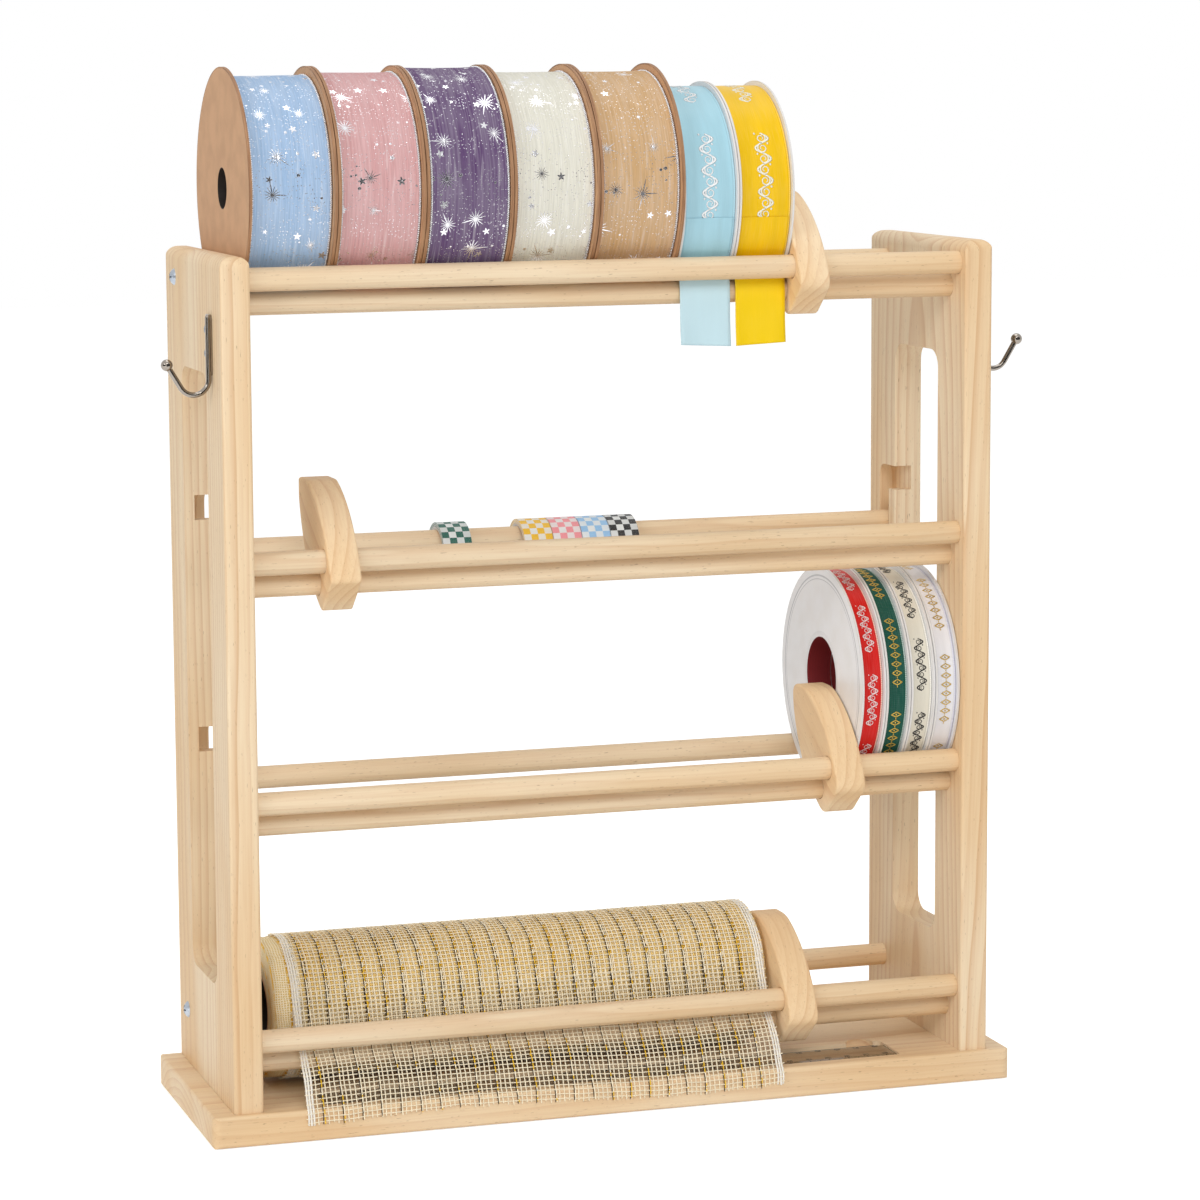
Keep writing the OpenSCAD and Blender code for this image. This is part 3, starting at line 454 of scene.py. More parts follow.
def star_effect(nodes, place, seed):
    """Foil print: large bursts, small five-point stars, dots and dust, thinner in patches."""
    moved = nodes.vector("ADD", place, nodes.join(seed, seed * 0.7))
    large = burst(nodes, moved, 19 * MM, 0.72, 5.0 * MM, 14.0, 0.13, 2.1, True)
    prints = (((0.311, 0.173, 0), 12.5 * MM, 0.4, 1.75 * MM, 5.0, 0.36, 1.2),
              ((0.177, 0.291, 0), 5.2 * MM, 0.4, 0.62 * MM),
              ((0.431, 0.117, 0), 1.9 * MM, 0.5, 0.2 * MM))
    small, dots, dust = (burst(nodes, nodes.vector("ADD", moved, shift), *look)
                         for shift, *look in prints)
    group = nodes.noise(moved, (62, 62, 0), 1, 0.5, 0.56)
    mask = nodes.most(large, small, group * nodes.most(dots, dust))
    return (mask * nodes.noise(moved, 1500, 2, 0.28, 0.38, 0.5, 1.0),)


def satin_effect(nodes, place):
    """Fine twill lines of satin along U, and slow patches along the width that paint a sheen as
    lighter colour.
    """
    return nodes.noise(place, (90, 4200, 0), 1), nodes.noise(place, (14, 120, 0))


def make_effects():
    """Builds every shared node group once."""
    tinted = {"Color": "Color", "Height": "Float"}
    effect("Pine", pine_effect, {"Place": "Vector", "Early": "Color", "Warm": "Color",
                                 "Late": "Color", "Pitch": 3.6 * MM, "Strength": 0.6}, tinted)
    effect("Card", card_effect, {"Place": "Vector", "Color": "Color", "Edge": "Color",
                                 "Rim": 0.0}, tinted)
    effect("Slub cloth", slub_effect, {"Place": "Vector"},
           dict.fromkeys(("Light", "Dark", "Glitter", "Height"), "Float"))
    effect("Foil stars", star_effect, {"Place": "Vector", "Seed": 0.0}, {"Mask": "Float"})
    effect("Satin lines", satin_effect, {"Place": "Vector"}, {"Line": "Float", "Slow": "Float"})


# ---- meshes ----

def about(axis, x, reach, angle):
    """Points at a reach and an angle about an X axis."""
    return np.stack(np.broadcast_arrays(x, axis[0] + reach * np.cos(angle),
                                        axis[1] + reach * np.sin(angle)), -1)


def run_along(path):
    """Length from a path's start to each of its points."""
    return np.append(0, np.cumsum(np.linalg.norm(np.diff(path, axis=0), axis=1)))


def unit(vectors):
    """Vectors along the last axis, each one unit long."""
    return vectors / np.linalg.norm(vectors, axis=-1, keepdims=True)


def pairs(u, v):
    """Points (u, v) of the shape that both make together."""
    return np.stack(np.broadcast_arrays(u, v), -1)


def add_object(name, data):
    piece = bpy.data.objects.new(name, data)
    bpy.context.scene.collection.objects.link(piece)
    return piece


class Shell:
    """Gathers grids of quads and turns them into one mesh object."""

    def __init__(self):
        self.points, self.quads, self.uvs, self.slots = [], [], [], []
        self.count = 0

    def cells(self, points, quads, uvs, slot):
        """quads index points; uvs has one row for each corner; slot is one number or many."""
        self.points.append(points.reshape(-1, 3))
        self.quads.append(quads + self.count)
        self.uvs.append(uvs.reshape(-1, 2))
        self.slots.append(np.broadcast_to(slot, len(quads)))
        self.count += len(self.points[-1])

    def grid(self, points, uv, wrap=(False, False), slot=0):
        """Cells between neighbours of points[i, j]; the normal is J's way crossed with I's.

        Where a way wraps, its last row joins the first, and uv has one row more than points.
        """
        m, n = points.shape[:2]
        i, j = np.indices((m - 1 + wrap[0], n - 1 + wrap[1])).reshape(2, -1)
        corners = [(i, j), (i, j + 1), (i + 1, j + 1), (i + 1, j)]
        quads = np.stack([(a % m) * n + b % n for a, b in corners], 1)
        self.cells(points, quads, np.stack([uv[corner] for corner in corners], 1), slot)

    def tubes(self, middle, side, up, slot=0):
        """Four-sided threads along middle[k, i], as wide as side and as high as up.

        side is the thread's way crossed with up, so that the faces point outwards. slot is
        one number for each thread. Each thread gets two end faces.
        """
        points = np.stack([middle + way for way in (side, up, -side, -up)], 2)
        count, n = middle.shape[:2]
        run = np.zeros((count, n))
        run[:, 1:] = np.cumsum(np.linalg.norm(np.diff(middle, axis=1), axis=2), 1)
        k, i, s = np.indices((count, n - 1, 4)).reshape(3, -1)
        corners = [(i, s), (i + 1, s), (i + 1, s + 1), (i, s + 1)]
        quads = np.stack([(k * n + a) * 4 + b % 4 for a, b in corners], 1)
        uvs = np.stack([pairs(run[k, a], b * 0.25 * MM) for a, b in corners], 1)
        slot = np.broadcast_to(slot, count)
        first = np.arange(count)[:, None] * n * 4 + np.arange(4)
        ends = np.concatenate([first, first[:, ::-1] + (n - 1) * 4])
        self.cells(points, np.concatenate([quads, ends]),
                   np.concatenate([uvs, np.zeros((len(ends), 4, 2))]),
                   np.concatenate([slot[k], slot, slot]))

    def turned(self, axis, x, r, steps=256, bump=None, slot=0, first=0):
        """Turns a closed profile (x, r) about an X axis.

        The profile runs up the left side, along the outside and down again. U is the way
        round on the largest radius, and V the way along the profile from its point first.
        bump adds to the radius at an array of (x, angle).
        """
        angle = np.linspace(0, TURN, steps, endpoint=False)
        along = x[:, None] + 0 * angle
        reach = r[:, None] + (bump(along, angle[None, :]) if bump else 0 * angle)
        run = run_along(np.stack([np.append(x, x[0]), np.append(r, r[0])], 1))
        u = np.linspace(0, TURN * r.max(), steps + 1)
        self.grid(about(axis, along, reach, angle), pairs(u, (run - run[first])[:, None]),
                  (True, True), slot)

    def slab(self, front, back, uv, slot=0):
        """A thin closed sheet between two grids whose rims are joined.

        The front faces the way that I's way crossed with J's points to.
        """
        m, n = front.shape[:2]
        index = np.arange(m * n).reshape(m, n)
        i, j = np.indices((m - 1, n - 1)).reshape(2, -1)
        corners = [(i, j), (i + 1, j), (i + 1, j + 1), (i, j + 1)]
        face = np.stack([index[corner] for corner in corners], 1)
        rim = np.concatenate([index[0, ::-1], index[1:, 0], index[-1, 1:], index[-2:0:-1, -1]])
        after = np.roll(rim, -1)
        sides = np.stack([rim, rim + m * n, after + m * n, after], 1)
        quads = np.concatenate([face, face[:, ::-1] + m * n, sides])
        self.cells(np.stack([front, back]), quads, uv.reshape(-1, 2)[quads % (m * n)], slot)

    def finish(self, name, *materials, smooth=True):
        """The gathered cells as an object with a UV map, in the frame's own place."""
        mesh = bpy.data.meshes.new(name)
        points, quads = np.concatenate(self.points), np.concatenate(self.quads)
        mesh.vertices.add(len(points))
        mesh.vertices.foreach_set("co", points.ravel())
        mesh.loops.add(quads.size)
        mesh.loops.foreach_set("vertex_index", quads.ravel())
        mesh.polygons.add(len(quads))
        mesh.polygons.foreach_set("loop_start", np.arange(len(quads)) * 4)
        layer = mesh.uv_layers.new(name="UVMap")
        layer.data.foreach_set("uv", np.concatenate(self.uvs).ravel())
        for material in materials:
            mesh.materials.append(material)
        mesh.polygons.foreach_set("material_index", np.concatenate(self.slots).astype(np.int32))
        mesh.polygons.foreach_set("use_smooth", np.full(len(quads), smooth))
        mesh.update(calc_edges=True)
        mesh.validate()
        return add_object(name, mesh)


def settle(piece, body, slot, *nodes):
    """The piece rides on a body and stands for CAD nodes, which it hides; slot is not used."""
    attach(piece, body)
    if nodes:
        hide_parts(*nodes)


def dress(material, *nodes):
    """Gives kept CAD nodes their material."""
    for node in nodes:
        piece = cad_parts[node]
        if not piece.material_slots:
            piece.data.materials.append(material)
        for slot in piece.material_slots:
            slot.material = material


def spline(points, share):
    """Points on a smooth line through the given ones, at shares from 0 to 1.

    Each stretch is the cubic through its ends whose slope at a point is half the way from
    the point before it to the one after it.
    """
    p = np.asarray(points, float)
    p = np.concatenate([p[:1], p, p[-1:]])
    place = np.clip(np.asarray(share) * (len(p) - 3), 0, len(p) - 3 - 1e-9)
    k = place.astype(int)
    u = (place - k)[:, None]
    a, b, c, d = p[k], p[k + 1], p[k + 2], p[k + 3]
    return 0.5 * (2 * b + u * (c - a) + u**2 * (2 * a - 5 * b + 4 * c - d)
                  + u**3 * (3 * b - a - 3 * c + d))


def soft_noise(shape, smooth, seed):
    """Random numbers on a grid, blurred by repeated averages, from about -1 to 1."""
    values = np.random.default_rng(seed).normal(size=shape)
    for _ in range(smooth * 2):
        near = np.pad(values, ((1, 1), (0, 0)), "edge")
        values = ((near[:-2] + 2 * values + near[2:]) / 4).T
    return values / np.abs(values).max()


def ripple(seed, size, waves):
    """A bump for turned pieces: a few waves round the axis whose phase drifts along X."""
    phases = np.random.default_rng(seed).uniform(0, TURN, len(waves))
    return lambda x, angle: size * sum(
        np.sin(n * angle + phase + x * 90 * (-1) ** i) / (i + 1)
        for i, (n, phase) in enumerate(zip(waves, phases)))


# ---- stage ----

def make_camera():
    """The photograph's view: a long lens to the left of the rack, a little above it.

    With no turn the camera looks along Y. It is turned to the left, tilted up and rolled.
    """
    lens = bpy.data.cameras.new("Camera")
    lens.sensor_width = 36
    lens.lens = 115.64
    lens.shift_x, lens.shift_y = 0.0667, -0.0333
    lens.clip_start, lens.clip_end = 0.05, 50
    yaw, pitch, roll = np.radians((-16.844, -7.464, -0.459))
    camera = add_object("Camera", lens)
    camera.matrix_world = (
        Matrix.Translation((-0.564361, -1.761569, 0.501238)) @ Matrix.Rotation(yaw, 4, "Z")
        @ Matrix.Rotation(math.pi / 2 + pitch, 4, "X") @ Matrix.Rotation(roll, 4, "Z"))
    bpy.context.scene.camera = camera


def add_lamp(name, place, aim, size, power):
    """A soft square lamp that faces the point aim."""
    data = bpy.data.lights.new(name, "AREA")
    data.size = size
    data.energy = power
    lamp = add_object(name, data)
    lamp.location = place
    lamp.rotation_euler = (Vector(aim) - Vector(place)).to_track_quat("-Z", "Y").to_euler()


def seen_rays(nodes):
    """1 for rays from the camera, from glossy surfaces and through clear ones."""
    path = nodes.outputs("LightPath")
    return nodes.most(*(path[f"Is {kind} Ray"] for kind in ("Camera", "Glossy", "Transmission")))


def flat_square(name, material, middle, across, along):
    """A flat square about a point, for the floor and the dark cards."""
    middle, across, along = (np.array(v, float) for v in (middle, across, along))
    side = np.linspace(-1, 1, 5)
    shell = Shell()
    shell.grid(middle + side[:, None, None] * along + side[None, :, None] * across,
               np.zeros((5, 5, 2)))
    square = shell.finish(name, material)
    return square


def make_world(level):
    """White for the rays that are seen and at the given level for those that only light."""
    world = bpy.data.worlds.new("Studio")
    bpy.context.scene.world = world
    world.use_nodes = True
    world.node_tree.nodes.clear()
    nodes = Nodes(world.node_tree)
    back = nodes.add("Background", {"Color": WHITE,
                                    "Strength": seen_rays(nodes) * (1 - level) + level})
    nodes.outputs("OutputWorld", {"Surface": back})


def make_floor():
    """A white floor that keeps the rack's soft shadow."""
    nodes = new_material("white_floor")
    cloth = nodes.add("BsdfDiffuse", {"Color": (0.9, 0.9, 0.9, 1)})
    glow = nodes.add("Emission", {"Color": WHITE, "Strength": seen_rays(nodes) * 0.64})
    nodes.outputs("OutputMaterial", {"Surface": nodes.add("AddShader", {0: cloth, 1: glow})})
    flat_square("Floor", nodes.material, (0, 0, -0.4 * MM), (6, 0, 0), (0, 6, 0))


def make_dark_cards():
    """Dark cards in front and at the left that only shiny surfaces see, for their contrast."""
    black = new_material("dark_card").surface((0.02, 0.02, 0.022, 1), 0.9)
    for place in (("Front_card", black, (0.5, -1.0, 0.5), (0.95, 0, 0), (0, 0.1, 0.5)),
                  ("Left_card", black, (-0.9, -0.45, 0.45), (0.12, -0.4, 0), (0, 0, 0.2))):
        card = flat_square(*place)
        for ray in ("camera", "diffuse", "shadow", "transmission"):
            setattr(card, f"visible_{ray}", False)


class RACK_OT_stage(bpy.types.Operator):
    """Sets up the camera, the lamps, the surrounding light and the floor"""
    bl_idname = "rack.stage"
    bl_label = "Stage"

    def execute(self, context):
        settings = context.scene.rack_stage
        context.scene.view_settings.view_transform = "Standard"
        make_camera()
        make_world(settings.sky_level)
        add_lamp("Main_lamp", (-0.3, -2.1, 1.7), (0, 0, 0.22), 1.0, settings.key_power)
        add_lamp("Side_lamp", (-2.0, -1.0, 0.9), (0, 0, 0.22), 1.2, settings.fill_power)
        add_lamp("Top_lamp", (0.1, 0.2, 1.8), (0, 0, 0.2), 1.0, settings.top_power)
        add_lamp("Front_lamp", (0.65, -2.0, 0.46), (0, 0, 0.4), 0.5, settings.front_power)
        make_floor()
        make_dark_cards()
        return {"FINISHED"}


# ---- wood ----

ALONG_X = (0, 0, 0)
ALONG_Z = (0, math.pi / 2, 0)


def pine_material(name, wood, turn, pith, pitch=1.0, strength=1.0, tint=1.0):
    """Pine whose grain runs along X before the turn; pith is where the rings' middle lies."""
    nodes = new_material(name)
    early, warm, late = (darker(linear(v), tint) for v in (wood.early, wood.warm, wood.late))
    colour, height = nodes.use("Pine", Place=nodes.place(pith, turn), Early=early, Warm=warm,
                               Late=late, Pitch=wood.ring_pitch * pitch,
                               Strength=wood.line_strength * strength)
    return nodes.surface(colour, nodes.step(height, 0.1, 0.8, 0.62, 0.5), height, 0.12 * MM,
                         0.7, Specular_IOR_Level=0.35)


class RACK_OT_wood(bpy.types.Operator):
    """Gives the board, panels and rods their pine"""
    bl_idname = "rack.wood"
    bl_label = "Pine"

    def execute(self, context):
        wood = context.scene.rack_wood
        for node, name, *look in (
                ("base_board", "pine_base", ALONG_X, (0.1, 0.006, -0.058), 1.2, 0.8),
                ("left_panel", "pine_left", ALONG_Z, (-0.235, 0.022, 0.05), 1.0, 0.9),
                ("right_panel", "pine_right", (0, math.pi / 2 - 0.035, 0),
                 (0.222, -0.002, 0.1), 1.1, 1.0)):
            dress(pine_material(name, wood, *look), node)
        for row, kind in enumerate(("front", "lower", "rear")):
            for tier in range(1, 5):
                node = f"{kind}_rod_{tier}"
                y, z = axis_of(node)
                # each rod is cut at its own distance from the pith, so that they differ
                shift = 0.011 + 0.004 * ((tier * 7 + row * 5) % 4)
                dress(pine_material(f"pine_{node}", wood, ALONG_X,
                                    (0.05 * row, y + shift, z - shift * 1.3), 0.9, 0.65,
                                    1 - 0.03 * ((tier + row) % 3)), node)
        return {"FINISHED"}


def leaf_outline(round_over):
    """The divider's outline, as distances (y, z) in metres from the front rod's axis.

    It is what two discs and four half planes have in common, so each direction from a point
    inside meets it once: at the nearest of their borders. The corners are then rounded by
    taking the mean of the outline over a stretch of it as long as round_over. The numbers
    are millimetres.
    """
    inside, middle = np.array([10.0, -2.0]), np.array([15.5, 4])
    disc, lean = 72.5, 54.3 * np.array([1, -1]) / math.sqrt(2)
    cut = math.radians(-130)
    borders = (((0, 1), 34.5), ((0, -1), 24.5), ((1, 0), 47.5),
               ((math.cos(cut), math.sin(cut)), 15))
    rays, samples, each_kept = 4000, 1440, 8
    angle = np.linspace(0, TURN, rays, endpoint=False)
    way = np.stack([np.cos(angle), np.sin(angle)], 1)
    reach = np.full(len(angle), 1e9)
    for centre in (middle + lean, middle - lean):
        along = way @ (centre - inside)
        off = np.sum((centre - inside) ** 2) - disc**2
        reach = np.minimum(reach, along + np.sqrt(along**2 - off))
    for border, limit in borders:
        speed = way @ np.array(border)
        room = limit - inside @ np.array(border)
        reach = np.where(speed > 1e-6, np.minimum(reach, room / np.maximum(speed, 1e-6)), reach)
    line = inside + way * reach[:, None]
    closed = np.concatenate([line, line[:1]])
    run = run_along(closed)
    even = np.linspace(0, run[-1], samples, endpoint=False)
    line = np.stack([np.interp(even, run, closed[:, axis]) for axis in (0, 1)], 1)
    half = int(round_over / (run[-1] / samples) / 2)
    total = sum(np.roll(line, shift, 0) for shift in range(-half, half + 1))
    return (total / (2 * half + 1))[::each_kept] * MM


def strip(first, second, count):
    """Quads between two rings of points that start at these indices."""
    index = np.arange(count)
    after = (index + 1) % count
    return np.stack([first + index, first + after, second + after, second + index], 1)


def leaf(name, tier, round_over, material):
    """A divider: the outline drawn through its thickness, with eased rims and two bores.

    The rim's inset falls along a quarter circle from each face to the full outline.
    """
    low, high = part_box(name)
    axes = [axis_of(f"{row}_rod_{tier}") for row in ("front", "lower")]
    outline = leaf_outline(round_over)
    along = np.roll(outline, -1, 0) - np.roll(outline, 1, 0)
    inward = unit(np.stack([-along[:, 1], along[:, 0]], 1))
    ease, bore_gap, crease = 1.2 * MM, 0.3 * MM, math.radians(40)
    turn = np.linspace(0, math.pi / 2, 6)
    inset, depth = ease * (1 - np.sin(turn)), ease * (1 - np.cos(turn))
    x = np.concatenate([low.x + depth, high.x - depth[::-1]])
    flat = outline + inward * np.concatenate([inset, inset[::-1]])[:, None, None] + axes[0]
    rim = np.concatenate([np.broadcast_to(x[:, None, None], flat.shape[:2] + (1,)), flat], -1)
    angle = np.linspace(0, TURN, 48, endpoint=False)
    bore = radius_of(f"front_rod_{tier}") + bore_gap
    rings = [about(axis, 0 * angle, bore, angle) for axis in axes]
    triangles = np.array(tessellate_polygon(
        [[Vector(p) for p in loop] for loop in (rim[0] * (0, 1, 1), *rings)]))
    left, right = (np.concatenate([edge] + [ring + (place, 0, 0) for ring in rings])
                   for edge, place in ((rim[0], low.x), (rim[-1], high.x)))
    m, n = rim.shape[:2]
    first = (m - 2) * n
    second = first + len(left)
    rows = [first, *range(0, first, n), second]
    faces = [strip(a, b, n) for a, b in zip(rows[:-1], rows[1:])]
    faces += [strip(second + hole, first + hole, len(angle)) for hole in (n, n + len(angle))]
    mesh = bpy.data.meshes.new(f"Leaf_{tier}")
    mesh.from_pydata(np.concatenate([rim[1:-1].reshape(-1, 3), left, right]).tolist(), [],
                     np.concatenate(faces).tolist() + (triangles + first).tolist()
                     + (triangles[:, ::-1] + second).tolist())
    work = bmesh.new()
    work.from_mesh(mesh)
    bmesh.ops.recalc_face_normals(work, faces=work.faces)
    work.to_mesh(mesh)
    work.free()
    mesh.materials.append(material)
    mesh.polygons.foreach_set("use_smooth", np.full(len(mesh.polygons), True))
    mesh.set_sharp_from_angle(angle=crease)
    return add_object(f"Leaf_{tier}", mesh)


class RACK_OT_dividers(bpy.types.Operator):
    """Shapes the four sliding dividers, with rounded corners and eased rims"""
    bl_idname = "rack.dividers"
    bl_label = "Dividers"

    def execute(self, context):
        wood = context.scene.rack_wood
        for tier, round_over in enumerate((9, 4, 11, 10), 1):
            node = f"divider_{tier}"
            low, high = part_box(node)
            pith = (high.x + 0.02 + 0.006 * tier, low.y + 0.03, low.z + 0.004 * tier)
            turn = (math.radians(-45 + 3 * tier), 0.05, math.radians(-86))
            pine = pine_material(f"pine_{node}", wood, turn, pith, 1.3, 0.95, 1.06)
            settle(leaf(node, tier, round_over, pine), f"{node}_body", "pine_divider", node)
        return {"FINISHED"}


# ---- reels ----

def reel_material(name, node, card, rim, bore, lining_or_shade, rings=None):
    """Card of a reel: darker plies on the rims, a bore with a real lining or with painted shade,
    and two thin printed rings.

    card is the colour of the card and of its edge. The rim's width and the bore's radius
    are in millimetres.
    """
    nodes = new_material(name)
    place = nodes.place((0, *axis_of(node)))
    x, y, z = nodes.split(place)
    radius, outer = nodes.radius(y, z), radius_of(node)
    shade, height = nodes.use(
        "Card", Place=place, Color=linear(card[0]), Edge=linear(card[1]),
        Rim=nodes.step(radius, outer - rim * MM, outer - rim * 0.3 * MM))

    def ring(reach, half):
        return nodes.band(radius, reach, half * 0.7, half)

    if rings is not None:
        lines = nodes.most(ring(outer - 4.5 * MM, 0.5 * MM), ring(outer - 6.3 * MM, 0.25 * MM))
        lip = ring((bore + 1.6) * MM, 1.3 * MM)
        shade = nodes.over(shade, (lines * 0.8, linear(rings)), (lip * 0.35, linear(card[0], 0.9)))
        height = height + lip * 3.0
    # The bore's inside takes lining_or_shade: the narrow reels' real red lining, or for the other
    # reels and the mesh core a dark brown that is painted shade.
    inside = nodes.step(radius, (bore + 0.05) * MM, (bore + 0.25) * MM, 1.0, 0.0)
    layers = nodes.mix(nodes.noise(nodes.join(x * 2600), 1.0, 1), linear(lining_or_shade),
                       linear(lining_or_shade, 0.6))
    return nodes.surface(nodes.mix(inside, shade, layers), 0.62 if rings is None else 0.35,
                         height, 0.08 * MM, 0.6)


class RACK_OT_reels(bpy.types.Operator):
    """Gives the reels and the mesh roll's core their card"""
    bl_idname = "rack.reels"
    bl_label = "Reels"

    def execute(self, context):
        card = context.scene.rack_card
        kraft, white = (card.kraft, card.kraft_edge), (card.white, card.white_edge)
        for name, kind, count, *look in (
                # card.bore is painted shade inside the kraft and satin reels' bores; card.hub is
                # the narrow reels' real lining.
                ("kraft_reel", "wide_reel", 5, kraft, 0.9, 9.5, card.bore),
                ("satin_reel_card", "satin_reel", 2, white, 0.3, 17, card.bore, card.print),
                ("narrow_reel_card", "narrow_reel", 4, white, 0.25, 19.5, card.hub, card.print)):
            reels = [f"{kind}_{index}" for index in range(1, count + 1)]
            dress(reel_material(name, reels[0], *look), *reels)
        # The core's bore also takes the painted shade of card.bore.
        dress(reel_material("core_card", "mesh_core", kraft, 0.4, 15.6, card.bore), "mesh_core")
        return {"FINISHED"}


# ---- wound ribbons ----

def wound_profile(left, right, inner, outer, round_r, waist=0.0):
    """Closed profile of a winding, with rounded outer corners and a waist between them."""
    turn = np.linspace(0, math.pi / 2, 5)
    across = np.linspace(0, 1, 13)[1:-1]
    x = np.concatenate([[left] * 3, left + round_r * (1 - np.cos(turn)),
                        left + round_r + across * (right - left - 2 * round_r),
                        right - round_r * (1 - np.sin(turn)), [right] * 3])
    edge = outer - round_r + round_r * np.sin(turn)
    middle = outer - waist * np.sin(across * math.pi) ** 0.5
    side = np.linspace(inner, outer - round_r, 4)[:-1]
    return x, np.concatenate([side, edge, middle, edge[::-1], side[::-1]])


def winding(node, waist, wave, seed, round_r=0.3, turn=0.3):
    """Wound ribbon in a node's place, as a shell, with its radius.

    Its outer turn ends in a small step at the back. The lengths are in millimetres.
    """
    low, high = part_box(node)
    wave_room = 0.15 * MM
    outer = radius_of(node) - wave_room
    inner, smooth_below = outer * 0.45, outer * 0.9
    waves = ripple(seed, wave * MM, (3, 7, 16, 29))
    x, r = wound_profile(low.x, high.x, inner, outer, round_r * MM, waist * MM)

    def bump(along, angle):
        step = turn * MM * (angle / TURN - 0.5)
        return (waves(along, angle) - step) * (r[:, None] > smooth_below)

    shell = Shell()
    shell.turned(axis_of(node), x, r, 288, bump, first=3)
    return shell, outer


def edge_cord(shell, x, axis, reach, radius, slot):
    """A thin round cord that goes once round a winding."""
    steps, sides = 288, 8
    angle = np.linspace(0, TURN, steps, endpoint=False)
    around = np.linspace(0, TURN, sides, endpoint=False)[:, None]
    points = about(axis, x - radius * np.cos(around), reach + radius * np.sin(around), angle)
    uv = pairs(np.linspace(0, TURN * reach, steps + 1),
               np.linspace(0, TURN * radius, sides + 1)[:, None])
    shell.grid(points, uv, (True, True), slot)


def star_material(name, colour, foil, seed, width):
    """Sheer slubbed ribbon with a silver print of stars."""
    nodes = new_material(name)
    place = nodes.uv()
    light, dark, glitter, height = nodes.use("Slub cloth", Place=place)
    stars, = nodes.use("Foil stars", Place=place, Seed=seed)
    v, = nodes.split(place, "Y")
    stars = nodes.most(stars, glitter * 0.8) * (1 - nodes.outside(v, 0.1 * MM, width - 0.1 * MM))
    base = linear(colour)
    pale = paler(base, 0.45)
    shade = nodes.over(base, (dark * 0.5, darker(base, 0.72)), (light * 0.75, pale),
                       (nodes.noise(place, (30, 60, 0), 2, 0.3, 0.8, 0.0, 0.25), pale),
                       (stars, linear(foil)))
    return nodes.surface(shade, 0.74 - stars * 0.6, height + stars * 0.6, 0.2 * MM, 0.7,
                         Metallic=stars, Specular_IOR_Level=0.2)


def cord_material(name, foil):
    """Silver thread wound round a wire, in beads about a millimetre long, with painted shade in
    the hollows between them.
    """
    nodes = new_material(name)
    place = nodes.uv()
    u, v = nodes.split(place, "XY")
    bead = nodes.humps(u + v * 0.5, 1.0 * MM)
    spark = nodes.step(nodes.cells(place, (1000, 1200, 0)), 0.2, 0.9, 0.25, 0.6)
    silver = linear(foil)
    # Painted shade: between the beads the silver falls to 0.35 of its colour.
    shade = nodes.mix(nodes.step(bead, 0.1, 0.7), darker(silver, 0.35), silver)
    return nodes.surface(shade, spark, bead, 0.35 * MM, 1.0, Metallic=0.75)


class RACK_OT_wide_ribbons(bpy.types.Operator):
    """Winds the five wired ribbons with their foil stars"""
    bl_idname = "rack.wide_ribbons"
    bl_label = "Wired ribbons"

    def execute(self, context):
        settings = context.scene.rack_ribbon
        cord = cord_material("silver_edge", settings.foil)
        radius = settings.cord_radius
        inset = radius + 0.1 * MM
        for index, name in enumerate(("blue", "pink", "purple", "cream", "tan"), 1):
            node = f"wide_ribbon_{index}"
            low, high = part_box(node)
            cloth = star_material(f"wired_{name}", getattr(settings, name), settings.foil,
                                  0.37 * index, high.x - low.x)
            shell, outer = winding(node, 0.25, 0.12, index)
            for x in (low.x + inset, high.x - inset):
                edge_cord(shell, x, axis_of(node), outer, radius, 1)
            settle(shell.finish(f"Wired_ribbon_{name}", cloth, cord), f"wide_spool_{index}",
                   f"wide_{name}", node)
        return {"FINISHED"}


def satin_material(name, colour, width, ribs=0.0, edge=None, rough=0.34, end=None):
    """Smooth ribbon with small picots or a woven edge, or with ribs across it and painted shade in
    their grooves.

    Past the first few centimetres of a loose piece its colour turns to end, which is painted
    light: the same satin as it looks where it hangs in the light.
    """
    nodes = new_material(name)
    place = nodes.uv()
    line, slow = nodes.use("Satin lines", Place=place)
    u, v = nodes.split(place, "XY")
    base = linear(colour)
    pale = paler(base, 0.15)
    inset = nodes.math("MINIMUM", v, width - v)
    border = nodes.step(inset, 0.55 * MM, 0.75 * MM, 1.0, 0.0)
    picot = nodes.humps(u, 0.9 * MM)
    # Painted sheen: the slow patches lift the darkened base back to the full satin colour.
    shade = nodes.over(darker(base, 0.86), (nodes.step(slow, 0.3, 0.75), base),
                       (nodes.step(line, 0.4, 0.8, 0.0, 0.3), pale),
                       (border * nodes.step(picot, 0.1, 0.8, 0.35, 0.9),
                        pale if edge is None else linear(edge)),
                       (nodes.band(inset, 1.0 * MM, 0.1 * MM, 0.3 * MM, 0.4), darker(base, 0.6)))
    height = line * 0.35 + border * (picot * 0.7 + 0.4)
    if ribs:
        rib = nodes.humps(u, ribs)
        height = height + rib * 1.2
        # Painted shade: the grooves between the ribs are darkened towards half the colour.
        shade = nodes.mix(nodes.step(rib, 0.0, 0.5, 0.55, 0.0), shade, darker(base, 0.5))
    # Painted light: the loose piece turns to the colour that the same satin shows as it hangs.
    if end is not None:
        shade = nodes.mix(nodes.step(u, 20 * MM, 30 * MM, 0.0, 0.75), shade, linear(end))
    return nodes.surface(shade, border * 0.25 + rough, height, 0.08 * MM, 0.8, Anisotropic=0.45,
                         Specular_IOR_Level=0.18)


